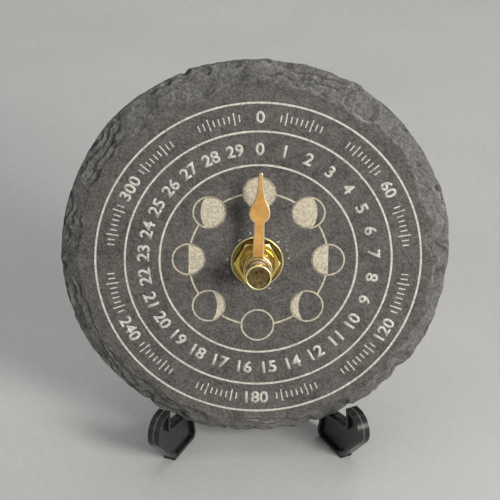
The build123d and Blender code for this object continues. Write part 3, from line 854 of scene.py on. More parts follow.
BRASS = GrainFinish("polished_brass", (0.72, 0.49, 0.10), (0.97, 0.73, 0.20), 0.5, (0.14, 0.30), 1.0, 0.003)
# darker brass for the washer's flat front: painted dark reflection
BRASS_PAINTED_DARK_REFLECTION = GrainFinish(
    "brass_painted_dark_reflection", (0.07, 0.045, 0.008), (0.46, 0.34, 0.09), 0.3, (0.08, 0.24), 1.0, 0.006, 3.0
)
# paler, less metallic brass for eased edges and rims: painted highlight
BRASS_PAINTED_HIGHLIGHT = GrainFinish(
    "brass_painted_highlight", (0.90, 0.77, 0.34), (0.98, 0.91, 0.54), 0.3, (0.24, 0.40), 0.7, 0.003
)
# dark speckled brass for the cap's end: painted dark reflection
CAP_END_PAINTED_REFLECTION = GrainFinish(
    "speckled_brass_painted_reflection", (0.06, 0.040, 0.014), (0.36, 0.26, 0.11), 0.9, (0.30, 0.50), 1.0, 0.02, 1.6
)
HAND_GOLD = GrainFinish(
    "gold_lacquer", (0.58, 0.295, 0.072), (0.79, 0.465, 0.155), 0.4, (0.42, 0.60), 0.55, 0.01, 2.6
)
# bright cut facet of the hand; its paler colour is partly painted highlight
HAND_BRIGHT_CUT_AND_HIGHLIGHT = GrainFinish(
    "bright_cut_gold_and_painted_highlight", (0.86, 0.64, 0.34), (0.97, 0.82, 0.52), 0.3, (0.22, 0.32), 0.9, 0.003
)
# darker gold for the hand's hub: painted shade
HAND_HUB_PAINTED_SHADE = GrainFinish(
    "gold_painted_shade", (0.26, 0.16, 0.04), (0.46, 0.31, 0.09), 0.4, (0.30, 0.46), 0.8, 0.006, 2.6
)
PIPE = GrainFinish("bright_pipe", (0.62, 0.62, 0.67), (0.80, 0.80, 0.85), 0.4, (0.30, 0.46), 0.3, 0.003)
STEEL = GrainFinish("satin_steel", (0.46, 0.46, 0.47), (0.66, 0.66, 0.67), 0.3, (0.26, 0.42), 1.0, 0.004)
SPRING_STEEL = GrainFinish(
    "spring_steel", (0.42, 0.43, 0.45), (0.60, 0.61, 0.63), 0.3, (0.2, 0.32), 1.0, 0.003
)
MAGNET = GrainFinish("sintered_magnet", (0.12, 0.12, 0.125), (0.24, 0.24, 0.25), 0.2, (0.4, 0.6), 1.0, 0.01)
SOFT_IRON = GrainFinish("rolled_iron", (0.32, 0.32, 0.33), (0.48, 0.48, 0.49), 0.4, (0.32, 0.5), 1.0, 0.006)
NICKEL = GrainFinish("nickel_leaf", (0.55, 0.54, 0.50), (0.74, 0.73, 0.69), 0.4, (0.2, 0.34), 1.0, 0.004)
CASE_BLACK = GrainFinish(
    "case_black", (0.020, 0.020, 0.021), (0.044, 0.044, 0.045), 0.22, (0.42, 0.58), 0.0, 0.018
)
KNOB_BLACK = GrainFinish(
    "knob_black", (0.02, 0.02, 0.021), (0.045, 0.045, 0.046), 0.2, (0.34, 0.5), 0.0, 0.01
)
RUBBER = GrainFinish(
    "gasket_rubber", (0.016, 0.016, 0.016), (0.034, 0.034, 0.033), 0.3, (0.75, 0.9), 0.0, 0.02
)
GEAR_WHITE = GrainFinish("gear_acetal", (0.70, 0.69, 0.65), (0.82, 0.81, 0.77), 0.3, (0.34, 0.48), 0.0, 0.004)
BOBBIN = GrainFinish("bobbin_plastic", (0.58, 0.54, 0.46), (0.72, 0.68, 0.60), 0.3, (0.4, 0.55), 0.0, 0.005)
BOARD = GrainFinish("solder_mask", (0.035, 0.14, 0.06), (0.06, 0.22, 0.10), 0.3, (0.28, 0.4), 0.0, 0.006)
EPOXY = GrainFinish("epoxy_blob", (0.008, 0.008, 0.008), (0.02, 0.02, 0.02), 0.5, (0.22, 0.36), 0.0, 0.004)
JACKET = GrainFinish(
    "cell_jacket", (0.022, 0.045, 0.085), (0.035, 0.065, 0.115), 0.3, (0.26, 0.38), 0.0, 0.003
)
JACKET_BAND = GrainFinish("cell_band", (0.55, 0.50, 0.38), (0.66, 0.61, 0.48), 0.3, (0.26, 0.38), 0.0, 0.003)
FLOOR = GrainFinish(
    "pale_floor", (0.52, 0.52, 0.51), (0.58, 0.58, 0.57), 2.0, (0.7, 0.85), 0.0, 0.02, 60.0, 0.0
)

KEPT_NODES: Dict[str, Finish] = {
    "rubber_gasket": RUBBER,
    "clutch_spring": SPRING_STEEL,
    "rotor_magnet": MAGNET,
    "coil_bobbin": BOBBIN,
    "coil_winding": COPPER,
    "circuit_board": BOARD,
    "driver_chip": EPOXY,
    "stand_hinge_pin": STEEL,
    **dict.fromkeys(("stator", "coil_core"), SOFT_IRON),
    **dict.fromkeys(("quartz_crystal", "battery_contact_plus", "battery_contact_minus"), NICKEL),
    **dict.fromkeys(
        ("drive_wheel", "set_wheel", "third_wheel", "second_wheel", "rotor_pinion", "set_pinion"), GEAR_WHITE
    ),
}


class SubAssembly:
    """Something that builds pieces of the clock and hands them to the frame."""

    @staticmethod
    def coloured(piece: Piece, finishes: Sequence[Finish], choice: FaceChoice) -> None:
        """Gives a piece several finishes and each of its faces one of them.

        Args:
            piece: the piece.
            finishes: its finishes.
            choice: says which of them a face takes.
        """
        for finish in finishes:
            piece.data.materials.append(finish.material())
        for face in piece.data.polygons:
            face.material_index = choice(face)

    def kept(self, piece: Piece, body: Body, slot: Slot, finish: Finish, *nodes: str) -> None:
        """Dresses a finished piece and ties it to the frame.

        Args:
            piece: the piece, in place.
            body: the body that it rides on.
            slot: the record's finish named for the piece; not used.
            finish: its material.
            *nodes: the CAD nodes that it stands for.
        """
        if piece.data.materials:
            piece.data.materials[0] = finish.material()
        else:
            piece.data.materials.append(finish.material())
        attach(piece, body.value)
        if nodes:
            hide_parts(*nodes)
        LOG.info("%s rides on %s with %d faces", piece.name, body.value, len(piece.data.polygons))

    def seated(
        self, piece: Piece, body: Body, slot: Slot, finish: Finish, node: str,
        place: Optional[Matrix] = None, angle: float = 35.0,
    ) -> None:
        """Moves a piece from the bench to its place, shades it and ties it to the frame.

        Args:
            piece: the piece, on the bench.
            body: the body that it rides on.
            slot: the record's finish named for the piece, handed on to kept.
            finish: its main material.
            node: the CAD node that it stands for.
            place: the move from the bench to the frame, or the dial's.
            angle: edges sharper than this many degrees stay sharp.
        """
        piece.data.transform(place or DIAL.matrix())
        Bench.crisp(piece, angle)
        self.kept(piece, body, slot, finish, node)


@dataclass(frozen=True)
class FlakeSize:
    """One size of flake struck off the slate's edge.

    Attributes:
        count: flakes of this size round the edge.
        bow: least and greatest radius of a flake's hollow.
        breadth: least and greatest breadth of a flake, in from the rim.
        drop: least and greatest depth of a flake at the rim.
    """

    count: int
    bow: Span
    breadth: Span
    drop: Span


@dataclass
class SlateDial(SubAssembly):
    """The slate disc: riven front face, flaked and layered bevel, broken rim and flat back.

    Attributes:
        band: breadth of the band round the rim that may be chipped.
        rim_dip: how far the rim wanders in from the full radius.
        rim_floor: least height of the rim's broken wall.
        nibble: length of one step in where the wall is too low.
        nibbles: how many such steps are tried.
        trim: how far the rim stands out or in, at equal steps anticlockwise from the right.
        flakes: the sizes of flake struck off the edge.
        bevel: breadth of the plain bevel under the flakes.
        slope: fall of the plain bevel.
        wander: how far the bevel's upper edge wanders.
        shove: how far the flakes' outlines wander.
        layer: thickness of the stone's layers.
        tilt: how far the layers rise and fall, in layers.
        bared: share of the layers' steps that shows.
        face_relief: rise and fall of the front face.
        edge_relief: rise and fall of the flaked edge.
        wall_relief: in and out of the broken wall.
        hole_room: clearance of the hole round the bushing.
        scuffed: distance of the scuffs from the hole.
        crest: height of a crest, or depth of a crease, that gets the full wear and painted highlight, or the
            full painted shade.
        steps: faces round the disc.
        rows: rows of points across the face, the band, the wall and the back.
        seed: which slate it is.
        scars: centre and radius of each flake's hollow, struck from the seed.
    """

    band: float = 10.0
    rim_dip: float = 0.35
    rim_floor: float = 0.5
    nibble: float = 0.1
    nibbles: int = 16
    trim: Tuple[float, ...] = (
        -0.53, -0.14, -0.64, -0.20, 0.26, 0.13, 0.15, 0.50, 0.37, 0.54, -0.16, -0.13,
        0.03, -0.03, 0.04, -0.10, 0.34, 0.77, 0.15, 0.53, -0.34, -0.20, -0.04, -0.67,
    )
    flakes: Tuple[FlakeSize, ...] = (
        FlakeSize(15, (12.0, 36.0), (4.6, 7.0), (2.2, 4.2)),
        FlakeSize(30, (5.0, 12.0), (2.4, 5.6), (3.0, 4.8)),
        FlakeSize(46, (1.6, 4.0), (0.6, 1.8), (4.2, 5.4)),
    )
    bevel: float = 5.0
    slope: float = 0.74
    wander: float = 1.1
    shove: float = 1.5
    layer: float = 1.7
    tilt: float = 1.5
    bared: float = 0.4
    face_relief: float = 0.03
    edge_relief: float = 0.2
    wall_relief: float = 0.22
    hole_room: float = 0.25
    scuffed: float = 2.7
    crest: float = 0.13
    steps: int = 900
    rows: Tuple[int, int, int, int] = (16, 58, 8, 7)
    seed: int = 7
    scars: List[Tuple[float, float, float, float]] = field(default_factory=list)

    def __post_init__(self) -> None:
        """Reads the disc's size and middle from the frame and strikes its flakes."""
        low, high = DIAL.span("slate_dial")
        self.thickness = high.z - low.z
        self.radius = (high.x - low.x) / 2 + self.rim_dip
        self.middle = ((low.x + high.x) / 2, (low.y + high.y) / 2)
        self.hole = DIAL.reach("threaded_bushing") + self.hole_room
        draw = np.random.default_rng(self.seed)
        for size in self.flakes:
            for number in range(size.count):
                angle = 2 * math.pi * (number + draw.uniform(-0.5, 0.5)) / size.count
                breadth = draw.uniform(*size.breadth) * (1.0 + 0.16 * math.sin(angle))
                top = Vector((self.radius - breadth, min(0.0, (breadth - self.bevel) * self.slope)))
                foot = Vector((self.radius, -draw.uniform(*size.drop)))
                chord = foot - top
                bow = max(draw.uniform(*size.bow), 0.6 * chord.length)
                rise = Vector((-chord.y, chord.x)).normalized()
                centre = (top + foot) / 2 + rise * math.sqrt(bow**2 - (chord.length / 2) ** 2)
                self.scars.append((centre.x * math.cos(angle), centre.x * math.sin(angle), centre.y, bow))

    def noise(self, grain: StoneGrain, x: np.ndarray, y: np.ndarray) -> np.ndarray:
        """One of the stone's noises at places on the dial, about -1 to 1."""
        number, size, octaves = grain.value
        return StoneNoise(self.seed + number, size, octaves).at(x, y)

    def face(self, x: np.ndarray, y: np.ndarray) -> np.ndarray:
        """Height in mm of the riven front face at places on it."""
        return self.face_relief * self.noise(StoneGrain.FACE, x, y)

    def flaked(self, x: np.ndarray, y: np.ndarray) -> np.ndarray:
        """Depth of the edge where flakes were struck off.

        Args:
            x: places across the dial in mm.
            y: places up the dial in mm.

        Returns:
            Heights in mm, 0 on the face.
        """
        wander = self.wander * self.noise(StoneGrain.WANDER, x, y)
        shove = self.shove * self.noise(StoneGrain.SHOVE, x, y)
        slip = self.shove * self.noise(StoneGrain.SLIP, x, y)
        x, y = x - self.middle[0], y - self.middle[1]
        depth = np.minimum(0.0, -(np.hypot(x, y) - self.radius + self.bevel - wander) * self.slope)
        x, y = x + shove, y + slip
        for across, along, height, bow in self.scars:
            under = bow**2 - (x - across) ** 2 - (y - along) ** 2
            hollow = height - np.sqrt(np.maximum(under, 0.0))
            depth = np.where(under > 0, np.minimum(depth, hollow), depth)
        return depth

    def surface(self, x: np.ndarray, y: np.ndarray) -> np.ndarray:
        """Height of the front of the stone, face and flaked edge with its layers laid bare.

        Args:
            x: places across the dial in mm.
            y: places up the dial in mm.

        Returns:
            Heights in mm.
        """
        depth = self.flaked(x, y)
        broken = smooth_step(-depth, 0.03, 0.5)
        tilt = self.tilt * self.noise(StoneGrain.TILT, x, y)
        level = depth / self.layer + tilt
        step = np.floor(level)
        bared = (step + smooth_step(level - step, 0.8, 1.0) - tilt) * self.layer
        shown = smooth_step(self.noise(StoneGrain.BARED, x, y), -0.2, 0.3)
        rough = self.edge_relief * self.noise(StoneGrain.ROUGH, x, y)
        rocky = depth + self.bared * shown * (bared - depth) + rough
        return broken * rocky + (1 - broken) * (depth + self.face(x, y))

    def edge(self, angle: np.ndarray) -> np.ndarray:
        """Distance of the unbroken round edge from the hand's axis.

        Args:
            angle: directions from the axis in radians.

        Returns:
            Distances in mm.
        """
        along = self.middle[0] * np.cos(angle) + self.middle[1] * np.sin(angle)
        off = self.middle[0] ** 2 + self.middle[1] ** 2
        return along + np.sqrt(self.radius**2 - off + along**2)

    def rim(self, angle: np.ndarray) -> np.ndarray:
        """Distance of the broken rim from the hand's axis.

        Args:
            angle: directions from the axis in radians.

        Returns:
            Distances in mm.
        """
        x, y = np.cos(angle), np.sin(angle)
        far = self.edge(angle)
        jagged = smooth_step(self.noise(StoneGrain.JAGGED, far * x, far * y), -0.4, 0.4)
        quick = self.noise(StoneGrain.RIM, far * x, far * y)
        turn = np.linspace(0.0, 2 * math.pi, len(self.trim), endpoint=False)
        far = far + np.interp(angle, turn, self.trim, period=2 * math.pi)
        far = far - self.rim_dip * (0.5 + (0.35 + 1.1 * jagged) * quick)
        for _ in range(self.nibbles):
            sunk = self.surface(far * x, far * y) < self.rim_floor - self.thickness
            far = np.where(sunk, far - self.nibble, far)
        return far

    def section(self) -> List[Corner]:
        """The plain disc's section, fine where the stone is chipped.

        Returns:
            Its corners, as (radius, height).
        """
        start = self.radius - self.band
        on_face, on_band, on_wall, on_back = self.rows
        face = np.linspace(self.hole, start, on_face)
        bevel = np.linspace(start, self.radius, on_band)[1:]
        wall = np.linspace(0.0, -self.thickness, on_wall)[1:-1]
        back = np.linspace(self.radius, self.hole, on_back)
        corners = [(float(r), 0.0) for r in (*face, *bevel)]
        corners += [(self.radius, float(z)) for z in wall]
        corners += [(float(r), -self.thickness) for r in back]
        return corners

    def bend(self, x: np.ndarray, y: np.ndarray, reach: float = 0.4) -> np.ndarray:
        """How sharply the flaked edge stands up, or how sharply it is creased, at places on it.

        Args:
            x: places across the dial in mm.
            y: places up the dial in mm.
            reach: how far off its neighbours are taken, in mm.

        Returns:
            Values up to about 1 on crests and down to about -1 in creases.
        """
        around = np.zeros_like(x)
        for across, along in ((reach, 0), (-reach, 0), (0, reach), (0, -reach)):
            around = around + self.surface(x + across, y + along) / 4
        return (self.surface(x, y) - around) / self.crest

    def build(self) -> None:
        """Turns the disc, shifts its edge off the hand's axis, breaks it and marks its tones."""
        piece = Bench.turned("slate_stone", self.section(), self.steps)
        mesh = piece.data
        x, y, z = Bench.points(mesh).T
        angle, away = np.arctan2(y, x), np.hypot(x, y)
        rim, start = self.rim(angle), self.edge(angle) - self.band
        plain = self.radius - self.band
        out = np.maximum(away - plain, 0.0) / self.band
        inner = np.minimum(away, plain) - self.hole
        inner = self.hole + inner * (start - self.hole) / (plain - self.hole)
        away = inner + out * (rim - start)
        front = z > -SKIN
        wall = (out > 0.999) & ~front & (z > SKIN - self.thickness)
        ragged = self.wall_relief * self.noise(StoneGrain.WALL, angle * rim, 4 * z)
        away = away + np.where(wall, ragged, 0.0)
        x, y = away * np.cos(angle), away * np.sin(angle)
        lip = self.surface(rim * np.cos(angle), rim * np.sin(angle))
        share = -z / self.thickness
        side = np.where(wall, lip + share * (-self.thickness - lip), z)
        z = np.where(front, self.surface(x, y), side)
        Bench.moved(mesh, np.stack([x, y, z], axis=1))
        bend = np.where(front, self.bend(x, y), 0.0)
        ring = smooth_step(-np.abs(away - self.hole - self.scuffed), -1.1, -0.3)
        tones = {
            "chip": np.where(front, smooth_step(-self.flaked(x, y), 0.0, 0.25), wall.astype(float)),
            # crest pales the crests for wear and painted highlight; the next key darkens creases with painted
            # shade
            "crest": np.clip(bend, 0.0, 1.0),
            "crease": np.clip(-bend, 0.0, 1.0),
            "scuff": np.where(front, ring, 0.0),
        }
        for name, values in tones.items():
            kept = mesh.attributes.new(name, "FLOAT", "POINT")
            kept.data.foreach_set("value", values.astype(np.float32))
        mesh.transform(DIAL.matrix())
        Bench.smooth(piece, 42.0)
        self.kept(piece, Body.CLOCK, Slot.SLATE, SLATE, "slate_dial")


@dataclass
class Engraving(SubAssembly):
    """The engraved dial: rings, day numbers, a degree scale and the ring of moons.

    Attributes:
        stone: the slate that it is cut in.
        offset: the engraving's centre, from the hand's axis.
        roll: turn of the whole engraving in degrees, clockwise.
        depth: thickness of the burnt layer.
        sunk: share of that layer below the face.
        line: width of the rings.
        rings: radii of the three rings.
        ring_steps: faces round a ring.
        day_radius: radius of the middle of the day numbers.
        day_height: height of the day numbers.
        days: numbers round the dial, evenly spaced, 13 left out as on the real dial.
        turned_days: first and last of the numbers whose tops face the centre.
        scale_radius: radius of the middle of the degree scale.
        scale_height: height of its numbers.
        scale_marks: its numbers, in degrees.
        ticks: length of its ticks and the degrees between them.
        tick_steps: faces round a band that ticks are cut from.
        tick_gap: room on each side of a number in degrees.
        tick_reach: how far the ticks go from a number in degrees.
        tick_half: half a tick's width in degrees.
        moon_path: radius of the ring of moons.
        moon_radius: radius of a moon.
        moon_steps: faces round a moon's outline.
        moon_grid: rows of points across and up the lit part of a moon.
        weight: how much the digits are thickened.
        breadth: how much the digits are widened.
    """

    stone: SlateDial
    offset: Corner = (0.37, 0.45)
    roll: float = 1.0
    depth: float = 0.05
    sunk: float = 0.4
    line: float = 0.56
    rings: Tuple[float, ...] = (46.2, 37.85, 28.0)
    ring_steps: int = 360
    day_radius: float = 32.75
    day_height: float = 3.65
    days: Tuple[int, ...] = (*range(13), *range(14, 30))
    turned_days: Tuple[int, int] = (9, 21)
    scale_radius: float = 42.0
    scale_height: float = 3.6
    scale_marks: Tuple[int, ...] = (0, 60, 120, 180, 240, 300)
    ticks: Tuple[Tuple[float, int], ...] = ((2.0, 2), (3.6, 10))
    tick_steps: int = 1440
    tick_gap: float = 6.5
    tick_reach: float = 25.0
    tick_half: float = 0.3
    moon_path: float = 19.8
    moon_radius: float = 4.85
    moon_steps: int = 72
    moon_grid: Tuple[int, int] = (14, 28)
    weight: float = 0.026
    breadth: float = 1.06

    def finished(self, piece: Piece, finish: Finish = ENGRAVED_LINE) -> None:
        """Thickens a flat piece, turns it with the engraving, lays it on the riven face and dresses it.

        Args:
            piece: a flat piece in the dial's plane.
            finish: tone of the burnt stone.
        """
        Bench.thickened(piece, self.depth)
        turn = Matrix.Rotation(-math.radians(self.roll), 4, "Z")
        piece.data.transform(Matrix.Translation((*self.offset, 0.0)) @ turn)
        spots = Bench.points(piece.data)
        spots[:, 2] += self.stone.face(spots[:, 0], spots[:, 1]) - self.sunk * self.depth
        Bench.moved(piece.data, spots)
        piece.data.transform(DIAL.matrix())
        self.kept(piece, Body.CLOCK, Slot.SLATE, finish)

    def band(self, name: str, middle: float, width: float, steps: int) -> Piece:
        """A flat ring.

        Args:
            name: name of the piece.
            middle: radius of its middle.
            width: its width.
            steps: faces round it.

        Returns:
            The flat ring, still a sheet.
        """
        Bench.clear()
        inner, outer = middle - width / 2, middle + width / 2
        bpy.ops.mesh.primitive_circle_add(vertices=steps, radius=inner, fill_type="NOTHING")
        piece = Bench.named(name)
        with Bench.editing(piece):
            bpy.ops.mesh.extrude_region_move()
            grow = outer / inner
            bpy.ops.transform.resize(value=(grow, grow, 1.0), center_override=(0.0, 0.0, 0.0))
        return piece

    def without(self, piece: Piece, test: FaceTest) -> None:
        """Deletes faces of a piece.

        Args:
            piece: the piece.
            test: says of a face whether it goes.
        """
        with Bench.editing(piece):
            if Bench.pick(piece, test):
                bpy.ops.mesh.delete(type="FACE")

    def number(self, value: int, height: float, radius: float, angle: float, turned: bool) -> Piece:
        """A number as a flat sheet at its place on the dial.

        Args:
            value: the number.
            height: height of its digits in mm.
            radius: distance from the dial's centre.
            angle: degrees clockwise from the top.
            turned: whether its top faces the centre.

        Returns:
            The sheet.
        """
        Bench.clear()
        bpy.ops.object.text_add()
        piece = bpy.context.object
        piece.data.body = str(value)
        piece.data.fill_mode = "FRONT"
        piece.data.resolution_u = 6
        piece.data.offset = self.weight
        Bench.only(piece)
        bpy.ops.object.convert(target="MESH")
        piece = Bench.named(f"number_{value}")
        with Bench.editing(piece):
            bpy.ops.mesh.remove_doubles(threshold=FINE_MERGE)
        spots = np.array([v.co for v in piece.data.vertices])
        middle = (spots.min(axis=0) + spots.max(axis=0)) / 2
        grow = height / np.ptp(spots[:, 1])
        sized = Matrix.Diagonal((self.breadth * grow, grow, grow, 1.0))
        piece.data.transform(sized @ Matrix.Translation(-Vector(middle)))
        spin = Matrix.Rotation(math.pi if turned else 0.0, 4, "Z")
        out = Matrix.Translation((0.0, radius, 0.0))
        piece.data.transform(Matrix.Rotation(-math.radians(angle), 4, "Z") @ out @ spin)
        return piece

    def build_rings(self) -> None:
        """The three plain rings, as one piece in place."""
        pieces = [self.band("ring", radius, self.line, self.ring_steps) for radius in self.rings]
        self.finished(Bench.joined("dial_rings", pieces))

    def build_days(self) -> None:
        """The day numbers, read from outside above and from inside below."""
        first, last = self.turned_days
        step = 360.0 / len(self.days)
        pieces = [
            self.number(day, self.day_height, self.day_radius, step * place, first <= day <= last)
            for place, day in enumerate(self.days)
        ]
        self.finished(Bench.joined("dial_days", pieces))

    def build_scale(self) -> None:
        """The degree scale: a number in the middle of each block of ticks."""
        pieces = [
            self.number(mark, self.scale_height, self.scale_radius, mark, 90 < mark < 270)
            for mark in self.scale_marks
        ]
        for length, every in self.ticks:
            band = self.band("ticks", self.scale_radius, length, self.tick_steps)
            self.without(band, lambda face: not self.on_tick(face, every))
            pieces.append(band)
        self.finished(Bench.joined("dial_scale", pieces))

    def on_tick(self, face: bmesh.types.BMFace, every: int) -> bool:
        """Whether a small face of the scale's band lies on a tick.

        Args:
            face: the face.
            every: degrees between ticks.

        Returns:
            True on a tick.
        """
        spot = face.calc_center_median()
        angle = math.degrees(math.atan2(spot.x, spot.y)) % 360.0
        near = min(abs((angle - mark + 180.0) % 360.0 - 180.0) for mark in self.scale_marks)
        off = abs((angle + every / 2) % every - every / 2)
        return self.tick_gap < near < self.tick_reach and off < self.tick_half

    def moon(self, turn: float, phase: Phase, side: LitSide) -> List[Piece]:
        """One moon: its outline and its lit part.

        Args:
            turn: its direction from the dial's centre in radians, clockwise from the top.
            phase: how much of it is lit.
            side: which side is lit.

        Returns:
            The flat pieces.
        """
        pieces = [self.band("outline", self.moon_radius - self.line / 2, 0.8 * self.line, self.moon_steps)]
        if phase is not Phase.DARK:
            Bench.clear()
            columns, rows = self.moon_grid
            bpy.ops.mesh.primitive_grid_add(x_subdivisions=columns, y_subdivisions=rows, size=2.0)
            lit = Bench.named("lit")
            for vertex in lit.data.vertices:
                rise = math.sin(vertex.co.y * math.pi / 2)
                half = math.sqrt(max(1.0 - rise * rise, 0.0))
                reach = 1.0 - (vertex.co.x + 1.0) / 2 * (1.0 + phase.value)
                vertex.co = Vector((side.value * reach * half, rise, 0.0)) * (self.moon_radius - 0.1)
            with Bench.editing(lit):
                bpy.ops.mesh.remove_doubles(threshold=COARSE_MERGE)
            pieces.append(lit)
        across, up = self.moon_path * math.sin(turn), self.moon_path * math.cos(turn)
        for piece in pieces:
            piece.data.transform(Matrix.Translation((across, up, 0.0)))
        return pieces

    def build_moons(self) -> None:
        """Eight moons round the hand, joined by short arcs."""
        waning = (Phase.WHOLE, Phase.GIBBOUS, Phase.HALF, Phase.CRESCENT, Phase.DARK)
        phases = [(phase, LitSide.LEFT) for phase in waning]
        phases += [(phase, LitSide.RIGHT) for phase in (Phase.CRESCENT, Phase.HALF, Phase.GIBBOUS)]
        turns = [math.radians(360.0 / len(phases) * number) for number in range(len(phases))]
        centres = [Vector((math.sin(a), math.cos(a), 0.0)) * self.moon_path for a in turns]
        pieces = []
        for turn, (phase, side) in zip(turns, phases):
            pieces += self.moon(turn, phase, side)
        path = self.band("path", self.moon_path, 0.9 * self.line, self.ring_steps)

        def hidden(face: bmesh.types.BMFace) -> bool:
            """Whether a face of the joining ring lies in a moon."""
            middle = face.calc_center_median()
            return any((middle - centre).length < self.moon_radius - self.line / 3 for centre in centres)

        self.without(path, hidden)
        self.finished(Bench.joined("dial_moons", [*pieces, path]), ENGRAVED)

    def build(self) -> None:
        """Cuts the whole dial."""
        self.build_rings()
        self.build_days()
        self.build_scale()
        self.build_moons()


@dataclass
class ClampHardware(SubAssembly):
    """Washer, hexagon nut and threaded bushing that hold the movement to the slate.

    Attributes:
        steps: faces round the washer.
        washer_edge: rounding of the washer's edge.
        washer_room: clearance of the washer's hole.
        nut_edge: rounding of the nut's edges.
        thread_steps: faces round the bushing.
        bore_room: clearance of the bushing's bore.
        flange: thickness of the bushing's flange.
        pitch: pitch of the bushing's thread.
        thread: depth of its thread.
        groove: depth of the groove in its end.
        flat: least forward lean of a face that belongs to a flat front.
        eased: least forward lean of a face that belongs to an eased edge.
    """

    steps: int = 96
    washer_edge: float = 0.3
    washer_room: float = 0.1
    nut_edge: float = 0.26
    thread_steps: int = 72
    bore_room: float = 0.05
    flange: float = 1.0
    pitch: float = 0.6
    thread: float = 0.3
    groove: float = 0.12
    flat: float = 0.97
    eased: float = 0.2

    def shaded(self, piece: Piece, front: Finish, node: str) -> None:
        """Seats a fitting with its own brass on its flat front and a brighter brass, as painted highlight, on
        its eased edges.

        Args:
            piece: the fitting, along the dial's own axes.
            front: the finish of its flat front.
            node: the CAD node that it stands for.
        """

        def choice(face: bpy.types.MeshPolygon) -> int:
            """1 on the flat front, 2 on what faces forward beside it."""
            return 1 if face.normal.z > self.flat else 2 if face.normal.z > self.eased else 0

        # eased edges take the brighter brass as painted highlight
        self.coloured(piece, (BRASS, front, BRASS_PAINTED_HIGHLIGHT), choice)
        self.seated(piece, Body.CLOCK, Slot.BRASS, BRASS, node)

    def build_washer(self) -> None:
        """A stamped washer with rolled edges."""
        low, high = DIAL.span("brass_washer")
        hole = DIAL.reach("threaded_bushing") + self.washer_room
        edge = self.washer_edge
        section = [
            (hole, low.z),
            (hole, high.z - edge),
            (hole + edge, high.z),
            (high.x - edge, high.z),
            (high.x, high.z - edge),
            (high.x, low.z),
        ]
        piece = Bench.turned("washer_disc", section, self.steps)
        Bench.rounded(piece, edge / 3)
        # painted dark reflection on the flat front, painted highlight on the rolled edges
        self.shaded(piece, BRASS_PAINTED_DARK_REFLECTION, "brass_washer")

    def build_nut(self) -> None:
        """A hexagon nut with painted highlight on its edges."""
        piece = Bench.copy_node("nut_hexagon", "hex_nut", DIAL.matrix())
        Bench.rounded(piece, self.nut_edge, 3, 25.0)
        self.shaded(piece, BRASS, "hex_nut")

    def build_bushing(self) -> None:
        """The bushing: flange, the crests and roots of its thread, and rings turned on its end."""
        low, high = DIAL.span("threaded_bushing")
        radius = DIAL.reach("threaded_bushing")
        bore = DIAL.reach("hand_arbor") + self.bore_room
        ease = (radius - bore) / 3
        root, flange = radius - self.thread, low.z + self.flange
        section = [(bore, low.z), (high.x, low.z), (high.x, flange), (root, flange)]
        turns = int((high.z - ease - flange - 0.2) / self.pitch)
        for turn in range(turns):
            foot = flange + 0.1 + turn * self.pitch
            section += [(root, foot), (radius, foot + 0.4 * self.pitch), (radius, foot + 0.6 * self.pitch)]
        section += [
            (radius - 0.1, high.z - ease),
            (radius - ease, high.z),
            (radius - 1.2 * ease, high.z - self.groove),
            (radius - 1.5 * ease, high.z - self.groove),
            (radius - 1.7 * ease, high.z),
            (bore + 0.25, high.z),
            (bore, high.z - 0.25),
        ]
        piece = Bench.turned("bushing_threaded", section, self.thread_steps)
        self.seated(piece, Body.CLOCK, Slot.BRASS, BRASS, "threaded_bushing")

    def build(self) -> None:
        """Makes the three fittings."""
        self.build_washer()
        self.build_nut()
        self.build_bushing()


